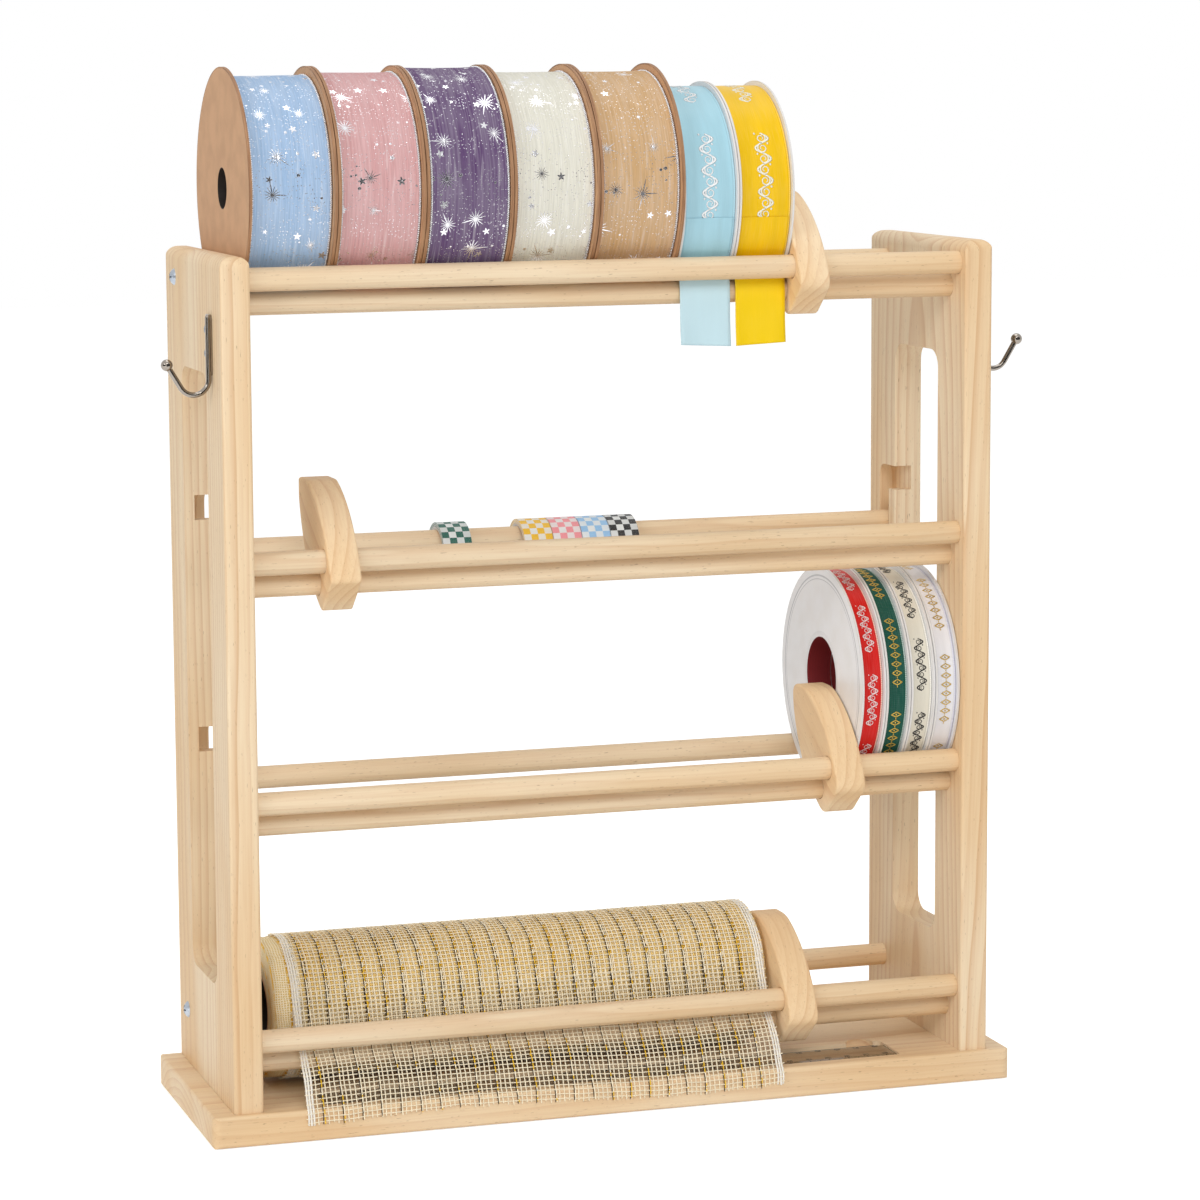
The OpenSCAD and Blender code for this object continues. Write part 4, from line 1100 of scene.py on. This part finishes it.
def print_material(name, colour, metal):
    """Ink or metal foil pressed on a ribbon, a little worn."""
    nodes = new_material(name)
    worn = nodes.noise(nodes.uv(), (2600, 2600, 0))
    shade = nodes.mix(nodes.step(worn, 0.3, 0.8, 0.0, 0.3), linear(colour), linear(colour, 0.75))
    return nodes.surface(shade, nodes.step(worn, 0.3, 0.8, 0.28, 0.5), worn, 0.02 * MM, 0.5,
                         Metallic=metal)


STROKE = np.linspace(0, 1, 17)      # shares along one stroke of a print


def dot_stroke(u, v, radius):
    """A round dot drawn as one short stroke."""
    across = 2 * STROKE - 1
    return pairs(u + across * radius, v), radius * np.sqrt(np.clip(1 - across**2, 0.01, 1))


def wave_scroll(pitch, height, pen, units):
    """Strokes of a running scroll: points (u, v) and the pen's half width at each.

    The stem is a sine wave. Under each of its crests a volute starts from the stem and winds
    in, its radius falling evenly, and a dot stands outside each crossing. The lengths of a
    print are in millimetres.
    """
    pitch, height, pen = pitch * MM, height * MM, pen * MM
    crest = np.sin(STROKE * math.pi)
    turn = math.pi * (1 - 2.9 * STROKE)
    reach = pitch / 4 * (1 - 0.7 * STROKE)
    strokes = []
    for half in range(2 * units):
        way = 1 - 2 * (half % 2)
        strokes += [
            (pairs((half + STROKE) * pitch / 2, way * height * crest), pen * (0.7 + 0.5 * crest)),
            (pairs((half + 0.5) * pitch / 2 + reach * np.cos(turn), way * reach * np.sin(turn)),
             pen * (0.95 - 0.5 * STROKE)),
            dot_stroke(half * pitch / 2 + pitch * 0.02, -way * height * 0.82, pen * 1.15)]
    return strokes


def lozenge_row(pitch, height, pen, units):
    """Strokes of a row of upright lozenges with a dot in each and a small one between them."""
    pitch, height, pen = pitch * MM, height * MM, pen * MM
    corners = [0, 0.25, 0.5, 0.75, 1]
    u = np.interp(STROKE, corners, [0, 1, 0, -1, 0]) * pitch * 0.3
    v = np.interp(STROKE, corners, [1, 0, -1, 0, 1]) * height
    strokes = []
    for middle in np.arange(units) * pitch:
        strokes += [(pairs(middle + u, v), pen + 0 * STROKE), dot_stroke(middle, 0, pen * 1.5),
                    dot_stroke(middle + pitch / 2, 0, pen * 1.1)]
    return strokes


def printed_ribbon(name, body, slot, node, cloth, ink, wound, strokes, group, start):
    """Wound ribbon with a print: groups of strokes that follow one another as raised lines.

    wound is what winding takes, group the length of one group in millimetres and start the
    first one's angle in degrees.
    """
    lift, thick = 0.06 * MM, 0.05 * MM
    shell, outer = winding(node, *wound)
    path, width = (np.stack(part) for part in zip(*strokes))
    count = int(TURN * outer / (group * MM))
    for index in range(count):
        angle = math.radians(start) + path[..., 0] / outer + TURN * index / count
        out = about((0, 0), 0, 1, angle)
        middle = about(axis_of(node), centre_of(node).x + path[..., 1], outer + lift, angle)
        way = unit(np.gradient(middle, axis=1))
        shell.tubes(middle, np.cross(way, out) * width[..., None], out * thick, 1)
    settle(shell.finish(name, cloth, ink), body, slot, node)


def satin_tail(name, index, width, cloth):
    """Loose end of a satin ribbon, and its length.

    It follows the winding to the front rod, passes between the rods and hangs. Its middle
    line is a spline through those points, and its two faces lie half its thickness from it.
    """
    ribbon = f"satin_ribbon_{index}"
    low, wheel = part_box(ribbon)[0], centre_of(ribbon)
    front, lower = centre_of("front_rod_1"), centre_of("lower_rod_1")
    rod = radius_of("front_rod_1")
    rise = np.array([0.14, 0.2, 0.3, 0.42, 0.55]) * MM
    gap_above, gap_below, wrapped = 0.55 * MM, 1.05 * MM, math.radians(24)
    thick, taper, free_from = 0.3 * MM, 6 * MM, 0.62
    cup_depth, skew = 0.7 * MM, 1.2 * MM
    reach = radius_of(ribbon) + rise
    wrap = (math.atan2(front.z - wheel.z, front.y - wheel.y)
            - np.linspace(wrapped, 0, len(rise)))
    hang, start = lower.y - rod - gap_below, front.y + rod + gap_above
    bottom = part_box(f"satin_tail_{index}")[0].z
    line = [*zip(wheel.y + reach * np.cos(wrap), wheel.z + reach * np.sin(wrap)),
            (start, front.z), ((start + hang) / 2, (front.z + lower.z) / 2), (hang, lower.z),
            (hang - 0.1 * MM, (lower.z + bottom) / 2), (hang - 0.9 * MM, bottom + 0.3 * MM)]
    path = spline(line, np.linspace(0, 1, 64))
    across = np.linspace(0, 1, 15)
    way = unit(np.gradient(path, axis=0))
    run = run_along(path)[:, None]
    share = run / run[-1]
    free = np.clip((share - free_from) / (1 - free_from), 0, 1)
    cup = free**1.5 * cup_depth * np.cos(across * TURN + 0.6 * index)
    half = thick / 2 * np.clip(run / taper, 0.15, 1)
    slant = (across - 0.5) * skew * (-1) ** index * share**8
    faces = [np.stack(np.broadcast_arrays(
        low.x + across * width, path[:, :1] + way[:, 1:] * offset,
        path[:, 1:] - way[:, :1] * offset + slant), -1) for offset in (cup + half, cup - half)]
    shell = Shell()
    shell.slab(*faces, pairs(run, across * width))
    return shell.finish(name, cloth), float(run[-1, 0])


class RACK_OT_satin_ribbons(bpy.types.Operator):
    """Winds the two satin ribbons and hangs their loose ends"""
    bl_idname = "rack.satin_ribbons"
    bl_label = "Satin ribbons"

    def execute(self, context):
        settings = context.scene.rack_ribbon
        scroll = wave_scroll(10.5, 3.5, 0.48, 4)
        for index, (name, slot, ink) in enumerate((
                ("blue", "satin_light_blue", screen(250, 252, 253)),
                ("yellow", "satin_yellow", screen(250, 246, 226))), 1):
            node = f"satin_ribbon_{index}"
            low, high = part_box(node)
            width = high.x - low.x
            colour = getattr(settings, f"satin_{name}")
            printed_ribbon(f"Satin_ribbon_{name}", f"satin_spool_{index}", slot, node,
                           satin_material(f"satin_{name}", colour, width),
                           print_material(f"satin_{name}_print", ink, 0.0),
                           (0.05, 0.04, 20 + index, 0.25, 0.15), scroll, 62, 146)
            # The hanging end takes its painted light as its end colour.
            loose = satin_material(f"satin_tail_{name}", colour, width,
                                   end=getattr(settings, f"tail_{name}"))
            tail, length = satin_tail(f"Satin_tail_{name}", index, width, loose)
            settle(tail, "rack", slot, f"satin_tail_{index}")
        return {"FINISHED"}


class RACK_OT_narrow_ribbons(bpy.types.Operator):
    """Winds the four narrow ribbons"""
    bl_idname = "rack.narrow_ribbons"
    bl_label = "Narrow ribbons"

    def execute(self, context):
        settings = context.scene.rack_ribbon
        scroll = wave_scroll(6.4, 2.4, 0.28, 4)
        lozenges = lozenge_row(4.4, 2.5, 0.32, 8)
        for index, (name, colour, ink, edge, ribs, metal, strokes, group) in enumerate((
                ("red", settings.red, (250, 226, 224), (240, 222, 204), 0, 0.0, scroll, 34),
                ("green", settings.green, (232, 196, 96), (206, 222, 214), 0.95 * MM, 0.9,
                 lozenges, 44),
                ("cream", settings.ivory, (36, 32, 30), (250, 248, 240), 0, 0.0, scroll, 36),
                ("white", settings.white, (226, 194, 118), (208, 206, 222), 0, 0.8, lozenges,
                 42)), 1):
            node = f"narrow_ribbon_{index}"
            low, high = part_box(node)
            printed_ribbon(f"Narrow_ribbon_{name}", f"narrow_spool_{index}", f"grosgrain_{name}",
                           node, satin_material(f"narrow_{name}", colour, high.x - low.x, ribs,
                                                screen(*edge), 0.5 if ribs else 0.34),
                           print_material(f"narrow_{name}_print", screen(*ink), metal),
                           (0.04, 0.05, 40 + index, 0.2, 0.15), strokes, group, 120 + 11 * index)
        return {"FINISHED"}


# ---- tapes ----

def tape_material(name, colour, pale, check, width):
    """Paper tape printed with checks; its sides show the wound layers."""
    nodes = new_material(name)
    colour, pale = linear(colour), linear(pale)
    place = nodes.uv()
    u, v = nodes.split(place, "XY")
    drift = nodes.noise(place, (400, 400, 0), 1) * (0.1 * MM)
    squares = nodes.math("FLOOR", (drift + u) / check) + nodes.math("FLOOR", v / check)
    odd = nodes.math("FLOORED_MODULO", squares, 2.0)
    outside = nodes.outside(v, -0.05 * MM, width + 0.05 * MM)
    light = nodes.mix(nodes.cells(place, (1 / check, 1 / check, 0)) * 0.25, pale, colour)
    layer = nodes.noise(place, (30, 9000, 0), 1)
    fibre = nodes.noise(place, (1600, 1600, 0))
    shade = nodes.over(colour, (odd, light),
                       (outside, nodes.mix(nodes.step(layer, 0.35, 0.65), colour, pale)),
                       (nodes.step(fibre, 0.45, 0.75, 0.0, 0.14), pale))
    return nodes.surface(shade, nodes.step(fibre, 0.3, 0.7, 0.42, 0.6),
                         layer * outside * 1.5 + fibre, 0.05 * MM, 0.5)


class RACK_OT_tapes(bpy.types.Operator):
    """Winds the five checked tapes on their card cores"""
    bl_idname = "rack.tapes"
    bl_label = "Tapes"

    def execute(self, context):
        settings, card = context.scene.rack_tape, context.scene.rack_card
        nodes = new_material("tape_core")
        shade, height = nodes.use("Card", Place=nodes.place(), Color=linear(card.white, 0.97),
                                  Edge=linear((0.74, 0.68, 0.62)), Rim=0.0)
        core_card = nodes.surface(shade, 0.7, height, 0.06 * MM, 0.6)
        wound, core, step, core_inset = 2.3 * MM, 1 * MM, 0.12 * MM, 0.2 * MM
        for index, name in enumerate(("green", "yellow", "pink", "blue", "black"), 1):
            node = f"tape_roll_{index}"
            low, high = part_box(node)
            outer = radius_of(node)
            paper = tape_material(f"check_{name}", getattr(settings, name), settings.pale,
                                  settings.check, high.x - low.x)
            shell = Shell()
            shell.turned(axis_of(node), *wound_profile(low.x, high.x, outer - wound, outer, step),
                         128, lambda along, angle: 0 * along - step * (angle / TURN), first=3)
            shell.turned(axis_of(node), *wound_profile(
                low.x + core_inset, high.x - core_inset, outer - wound - core, outer - wound,
                0.15 * MM), 128, slot=1)
            settle(shell.finish(f"Tape_{name}", paper, core_card), f"tape_{index}",
                   f"tape_{name}", node)
        return {"FINISHED"}


# ---- mesh ribbon ----

def thread_material(name, colour, level):
    """Matt paper thread, twisted, with small stretches at a darker level."""
    nodes = new_material(name)
    twist = nodes.noise(nodes.uv(), (1600, 3000, 0), 1)
    deep = linear(colour, level)
    shade = nodes.over(linear(colour), (nodes.step(twist, 0.35, 0.75, 0.0, 0.35), deep),
                       (nodes.noise(nodes.place(), 130, 2, 0.35, 0.8, 0.0, 0.3), deep))
    return nodes.surface(shade, 0.75, twist, 0.06 * MM, 0.8, Sheen_Weight=0.1)


def film_material(name, shiny, plain, level):
    """Film thread that shows one side or the other as it twists; level is the shiny share."""
    nodes = new_material(name)
    side = nodes.noise(nodes.join(*nodes.split(nodes.uv(), "X")), 210)
    drift = nodes.noise(nodes.place(), 26, 1)
    mask = nodes.step(drift * 0.5 + side, 0.98 - 0.46 * level, 1.02 - 0.46 * level)
    return nodes.surface(nodes.mix(mask, linear(plain), linear(shiny)), 0.42 - mask * 0.15, side,
                         0.1 * MM, 0.6, Metallic=mask * 0.45, Specular_IOR_Level=0.3)


def body_material(name, settings, pitch):
    """Turns under the threads: a blurred net whose gaps carry painted shade, and gold beside the
    film.
    """
    nodes = new_material(name)
    place = nodes.uv()
    u, v = nodes.split(place, "XY")
    bend = nodes.noise(place, (60, 60, 0)) * (3 * MM)
    net = nodes.most(nodes.step(nodes.humps(bend + v, settings.warp_pitch * 0.52), 0.72, 0.9),
                     nodes.step(nodes.humps(u - bend, settings.weft_pitch * 0.5), 0.72, 0.9))
    fibre = nodes.noise(place, (900, 900, 0), 3)
    base = linear(settings.body)
    gold = (nodes.step(nodes.humps(v + 1.2 * MM, pitch), 0.5, 0.2)
            * nodes.noise(place, (260, 500, 0), 2, 0.46, 0.52))
    # Painted shade: the gaps of the net take the body colour at 0.75, for the shade of the deeper
    # turns.
    shade = nodes.over(darker(base, 0.75), (net, linear(settings.cream)),
                       (nodes.step(fibre, 0.35, 0.7, 0.0, 0.35), base),
                       (gold, linear(settings.gold)))
    return nodes.surface(shade, 0.8 - gold * 0.35, net + fibre, 0.4 * MM, 0.8,
                         Metallic=gold * 0.6)


TAIL_GAP = 0.7 * MM      # between the loose end's middle and what it passes
SWAY_FROM = 12 * MM      # from the seam of roll and loose end to the threads' full sway
SWAY = 0.55 * MM         # of the threads along the mesh, to the side
SWING = 0.6 * MM         # of the threads across it, forwards and back
WEFT_SHARE = 0.85        # of a plain thread's width, for the threads across


def mesh_span():
    """Left and right edge of the mesh's outer turn, which goes on as its loose end."""
    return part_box("mesh_roll")[0].x + 8 * MM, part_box("mesh_tail")[1].x + 0.5 * MM


def mesh_leave(gap):
    """Where the loose end goes: the angle at which it leaves the roll, and the rods' gap."""
    axis, outer = axis_of("mesh_roll"), radius_of("mesh_roll")
    nip = (np.array(axis_of("front_rod_4")) + axis_of("lower_rod_4")) / 2
    y, z = nip - axis
    return math.atan2(z, y) - math.acos((outer + gap) / math.hypot(y, z)), nip


def warp_plan(width, settings):
    """Places of the threads along the mesh, half widths and kinds.

    The kinds are 0 for plain, 1 for the woven edges, 2 for black film and 3 for the gold one
    that runs beside each black thread.
    """
    edge = np.array([0.45, 1.65, 2.95]) * MM
    border, gold_beside, thickness = 4.9 * MM, 0.62 * MM, np.array([1, 1.75, 0.8, 0.95])
    inner = width - 2 * border
    count = int(round(inner / settings.warp_pitch))
    plain = border + np.arange(count + 1) * inner / count
    black = plain[1::4]
    place = np.concatenate([edge, plain, black + gold_beside, width - edge])
    kind = np.concatenate([[1, 1, 1], np.where(np.arange(count + 1) % 4 == 1, 2, 0),
                           np.full(len(black), 3), [1, 1, 1]])
    order = np.argsort(place)
    place, kind = place[order], kind[order]
    return place, settings.thread * thickness[kind], kind


def weave(points, normals, half_warp, kinds, half_weft, lift, fringe, seed, spare):
    """A shell of threads both ways through crossings points[i, j], over and under in turn.

    i counts the threads along the mesh and j those across it. A thread along lies above the
    surface where i + j is even and below it where it is odd, and the one across does the
    reverse. fringe lengthens the threads across at both ends by random amounts up to it, and
    spare the threads along at their last end, by shares of their last step.
    """
    shell = Shell()
    m, n = points.shape[:2]
    over = lift * (1 - 2 * (np.add.outer(np.arange(m), np.arange(n)) % 2))[..., None]
    rng = np.random.default_rng(seed)

    def thread(middle, up, half, thick, slots):
        side = unit(np.cross(unit(np.gradient(middle, axis=1)), up))
        shell.tubes(middle, side * half, up * thick, slots)

    along = points + normals * over
    half = half_warp[:, None, None]
    thick = np.where(kinds > 1, 0.5, 0.8)[:, None, None] * half
    step = along[:, -1:] - along[:, -2:-1]
    tail = along[:, -1:] + step * rng.uniform(*spare, (m, 1, 1))
    thread(np.concatenate([along, tail], 1), np.concatenate([normals, normals[:, -1:]], 1),
           half, thick, kinds)
    across = np.swapaxes(points - normals * over, 0, 1)
    up = np.swapaxes(normals, 0, 1)
    ends = []
    for here, beyond in ((0, 1), (-1, -2)):
        way = unit(across[:, here] - across[:, beyond])
        reach = half_warp[here] + fringe * rng.uniform(0.1, 1, (n, 1))
        ends.append(across[:, here] + way * reach)
    across = np.concatenate([ends[0][:, None], across, ends[1][:, None]], 1)
    up = np.concatenate([up[:, :1], up, up[:, -1:]], 1)
    thread(across, up, half_weft, half_weft * 0.8, 0)
    return shell


class RACK_OT_mesh_roll(bpy.types.Operator):
    """Winds the mesh: plain turns inside and two outer layers of real threads"""
    bl_idname = "rack.mesh_roll"
    bl_label = "Mesh roll"

    def execute(self, context):
        settings = context.scene.rack_mesh
        low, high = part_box("mesh_roll")
        axis, outer = axis_of("mesh_roll"), radius_of("mesh_roll")
        core = radius_of("mesh_core")
        hollow, samples, wavy_above = core + 0.3 * MM, 60, core * 1.2
        shell = Shell()
        waves = ripple(5, 0.18 * MM, (5, 11, 23, 37))
        x = np.concatenate([[low.x], np.linspace(low.x + 0.2 * MM, high.x - 1.4 * MM, samples),
                            [high.x - 1.2 * MM, low.x + 60 * MM]])
        r = np.concatenate([[hollow], np.full(samples, outer - 1.35 * MM), [hollow] * 2])
        shell.turned(axis, x, r, 200,
                     lambda along, angle: waves(along, angle) * (r[:, None] > wavy_above), first=1)
        body = body_material("mesh_body", settings, settings.warp_pitch * 4)
        settle(shell.finish("Mesh_roll_inside", body), "mesh_spool", "gold_mesh", "mesh_roll")
        cream = thread_material("mesh_cream", settings.cream, 0.82)
        under = thread_material("mesh_under", settings.body, 0.9)
        shared = (thread_material("mesh_edge", settings.edge, 0.9),
                  film_material("mesh_black_film", settings.gold, settings.black, 0.12),
                  film_material("mesh_gold_film", settings.gold, settings.cream, 0.5))
        left, right = mesh_span()
        place, half, kind = warp_plan(right - left, settings)
        leave = mesh_leave(TAIL_GAP)[0]
        count = int(round(TURN * outer / settings.weft_pitch))
        run = np.arange(count) * TURN / count
        fade = np.clip(run * outer / SWAY_FROM, 0, 1)
        for name, plain, depth, shift, seed in (
                ("Mesh_roll_threads", cream, 0.3 * MM, 0, 11),
                ("Mesh_roll_under", under, 0.78 * MM, 1.1 * MM, 31)):
            sway, swing, lift = (soft_noise((len(place), count), smooth, seed + extra) * fade
                                 for extra, smooth in enumerate((4, 4, 10)))
            turn = leave - run - shift / outer + swing * SWING / outer
            reach = outer - depth - 0.3 * MM * run / TURN + 0.1 * MM * lift
            points = about(axis, left + place[:, None] + sway * SWAY + shift, reach, turn)
            shell = weave(points, about((0, 0), 0, 1, turn), half, kind,
                          settings.thread * WEFT_SHARE, 0.14 * MM, 1.5 * MM - shift, seed + 3,
                          (0.8, 1.0))
            settle(shell.finish(name, plain, *shared, smooth=False), "mesh_spool", "gold_mesh",
                   "mesh_roll")
        return {"FINISHED"}


class RACK_OT_mesh_tail(bpy.types.Operator):
    """Lays the mesh's loose end through the rods and over the board's front edge"""
    bl_idname = "rack.mesh_tail"
    bl_label = "Loose mesh"

    def execute(self, context):
        settings = context.scene.rack_mesh
        left, right = mesh_span()
        axis, outer = axis_of("mesh_roll"), radius_of("mesh_roll")
        edge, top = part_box("base_board")[0].y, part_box("base_board")[1].z
        fray, start_inset = 1.6 * MM, 0.3 * MM
        front = edge - TAIL_GAP
        leave, nip = mesh_leave(TAIL_GAP)
        out = np.array([math.cos(leave), math.sin(leave)])
        line = spline([
            axis + (outer - start_inset) * out,
            nip * 0.55 + (axis + outer * out) * 0.45 - (start_inset, 0),
            nip,
            (centre_of("front_rod_4").y - 4.5 * MM, nip[1] - 11 * MM),
            (edge + 2.2 * MM, top + 3.2 * MM),
            (front - 0.3 * MM, top - 2.5 * MM),
            (front - 0.6 * MM, top - 9 * MM)], np.linspace(0, 1, 400))
        run = run_along(line)
        length, width = run[-1], right - left
        place, half, kind = warp_plan(width, settings)
        count = int(round(length / settings.weft_pitch))
        share = (place / width)[:, None]
        ends = length - fray - (2.2 + 2.0 * np.cos(TURN * (share - 0.32))) * MM
        s = np.linspace(0.0, 1, count) * ends
        fade = np.clip(s / SWAY_FROM, 0, 1)
        s = s + soft_noise(s.shape, 4, 21) * SWING * fade
        x = left + place[:, None] + soft_noise(s.shape, 4, 22) * SWAY * fade

        def on_line(s):
            return np.stack([np.interp(s, run, line[:, way]) for way in (0, 1)], -1)

        y, z = np.moveaxis(on_line(s), -1, 0)
        free = np.clip((s / length - 0.45) / 0.4, 0, 1)
        swell = np.sin(free * math.pi) * (1 + np.sin(share * TURN * 2.5)) / 2
        way = unit(on_line(s + 0.3 * MM) - on_line(s - 0.3 * MM))
        shell = weave(np.stack([x, y, z + 0.9 * MM * swell], -1),
                      np.stack([0 * s, way[..., 1], -way[..., 0]], -1), half, kind,
                      settings.thread * WEFT_SHARE, 0.16 * MM, 0.9 * MM, 24, (0.25, 0.9))
        piece = shell.finish("Mesh_tail", *(bpy.data.materials[name] for name in (
            "mesh_cream", "mesh_edge", "mesh_black_film", "mesh_gold_film")), smooth=False)
        settle(piece, "rack", "gold_mesh", "mesh_tail")
        return {"FINISHED"}


# ---- ruler ----

def number_strokes(number):
    """The number's strokes on a grid two units wide and four high, as pairs of points."""
    spots = {"a": (0, 4), "c": (2, 4), "e": (0, 2), "g": (2, 2), "i": (0, 0), "k": (2, 0)}
    shapes = ("ac ck ki ia", "ck", "ac cg ge ei ik", "ac ck ki eg", "ae eg ck", "ca ae eg gk ki",
              "ca ai ik kg ge", "ac ck", "ac ck ki ia eg", "ge ea ac ck ki")
    strokes = np.array([[np.add(spots[end], (3 * index, 0)) for end in stroke]
                        for index, digit in enumerate(str(number))
                        for stroke in shapes[int(digit)].split()], float)
    strokes[..., 0] -= (3 * len(str(number)) - 1) / 2
    return strokes


def ruler_bars(shell, start, end, side):
    """Thin bars between points on the ruler's face, which slopes near its edges.

    side is 1 for the front edge and -1 for the rear one.
    """
    low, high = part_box("ruler")
    edge = low.y if side == 1 else high.y
    slope, drop = 5 * MM, (high.z - low.z) / 2
    lift, half, thick = 0.06 * MM, 0.15 * MM, 0.04 * MM
    flat = np.stack([start, end], 1)
    depth = np.clip((flat[..., 1] - edge) * side / slope, 0, 1)
    height = high.z - drop * (1 - depth) + lift
    middle = np.concatenate([flat, height[..., None]], -1)
    up = np.broadcast_to([0, 0, 1.0], middle.shape)
    way = np.concatenate([unit(end - start), np.zeros((len(end), 1))], 1)[:, None]
    shell.tubes(middle, np.cross(way, up) * half, up * thick)


class RACK_OT_ruler(bpy.types.Operator):
    """Makes the ruler clear and prints its scale"""
    bl_idname = "rack.ruler"
    bl_label = "Ruler"

    def execute(self, context):
        nodes = new_material("clear_acrylic")
        scratch = nodes.noise(nodes.place(), (60, 2500, 900))
        dress(nodes.surface((0.93, 0.96, 0.97, 1), nodes.step(scratch, 0.45, 0.8, 0.03, 0.12),
                            scratch, 0.01 * MM, 0.3, Transmission_Weight=1.0, IOR=1.49), "ruler")
        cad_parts["ruler"].visible_shadow = False
        nodes = new_material("scale_ink")
        ink = nodes.surface(nodes.mix(nodes.noise(nodes.place(), 900, 2, 0.4, 0.8, 0.0, 0.4),
                                      linear((0.12, 0.1, 0.1)), linear((0.3, 0.26, 0.25))), 0.5)
        low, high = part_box("ruler")
        margin = 4 * MM
        zero = low.x + margin
        ticks = np.arange(0, int((high.x - low.x - 2 * margin) / MM) + 1)
        size = np.where(ticks % 10 == 0, 4.6, np.where(ticks % 5 == 0, 3.6, 2.6)) * MM
        shell = Shell()
        for side, edge in ((1, low.y), (-1, high.y)):
            start = pairs(zero + ticks * MM, edge + side * 0.3 * MM)
            ruler_bars(shell, start, start + pairs(0, side * size), side)
            for number in range(1, int(ticks[-1] // 10) + 1):
                marks = number_strokes(number) * 0.5 * MM * side
                marks += (zero + number * 10 * MM, edge + side * 5.3 * MM)
                ruler_bars(shell, marks[:, 0], marks[:, 1], side)
        settle(shell.finish("Ruler_scale", ink, smooth=False), "rack", "clear_acrylic")
        return {"FINISHED"}


# ---- metal ----

def metal_material(name, colour, rough, scale):
    """Plated metal with faint drawn lines and small dull patches."""
    nodes = new_material(name)
    place = nodes.place()
    dull = nodes.noise(place, 240)
    shade = nodes.mix(nodes.step(dull, 0.35, 0.75, 0.0, 0.35), linear(colour),
                      linear(colour, 0.8))
    return nodes.surface(shade, nodes.step(dull, 0.3, 0.8, rough, rough + 0.16),
                         nodes.noise(place, (scale, scale, scale * 0.1), 3), 0.03 * MM, 0.5,
                         Metallic=1.0)


class RACK_OT_metal(bpy.types.Operator):
    """Plates the hooks, screws and hangers"""
    bl_idname = "rack.metal"
    bl_label = "Metal"

    def execute(self, context):
        settings = context.scene.rack_metal
        dress(metal_material("nickel_plate", settings.nickel, 0.07, 900), "left_hook",
              "right_hook")
        dress(metal_material("zinc_plate", settings.zinc, 0.28, 1400), "hook_screws",
              "rod_screws", "base_screws", "hanger_screws")
        dress(metal_material("hanger_plate", settings.steel, 0.35, 1200), "left_hanger",
              "right_hanger")
        return {"FINISHED"}


# ---- panel, registration and run ----

OPERATORS = (RACK_OT_stage, RACK_OT_wood, RACK_OT_dividers, RACK_OT_reels, RACK_OT_wide_ribbons,
             RACK_OT_satin_ribbons, RACK_OT_narrow_ribbons, RACK_OT_tapes, RACK_OT_mesh_roll,
             RACK_OT_mesh_tail, RACK_OT_ruler, RACK_OT_metal)


class RACK_PT_panel(bpy.types.Panel):
    """Lists the pieces in the order in which they are made"""
    bl_idname = "RACK_PT_panel"
    bl_label = "Ribbon rack"
    bl_space_type = "VIEW_3D"
    bl_region_type = "UI"
    bl_category = "Ribbon rack"

    def draw(self, context):
        for operator in OPERATORS:
            self.layout.operator(operator.bl_idname)
        for name in SETTINGS:
            group = getattr(context.scene, name)
            box = self.layout.box()
            for key in group.bl_rna.properties.keys():
                if key not in ("rna_type", "name"):
                    box.prop(group, key)


CLASSES = (*SETTINGS.values(), *OPERATORS, RACK_PT_panel)


def register():
    for each in CLASSES:
        bpy.utils.register_class(each)
    for name, group in SETTINGS.items():
        setattr(bpy.types.Scene, name, bpy.props.PointerProperty(type=group))


def unregister():
    for name in SETTINGS:
        delattr(bpy.types.Scene, name)
    for each in reversed(CLASSES):
        bpy.utils.unregister_class(each)


def main():
    """Makes every piece in order."""
    register()
    make_effects()
    for operator in OPERATORS:
        group, name = operator.bl_idname.split(".")
        getattr(getattr(bpy.ops, group), name)()
    bpy.context.view_layer.update()


if __name__ == "__main__":
    main()
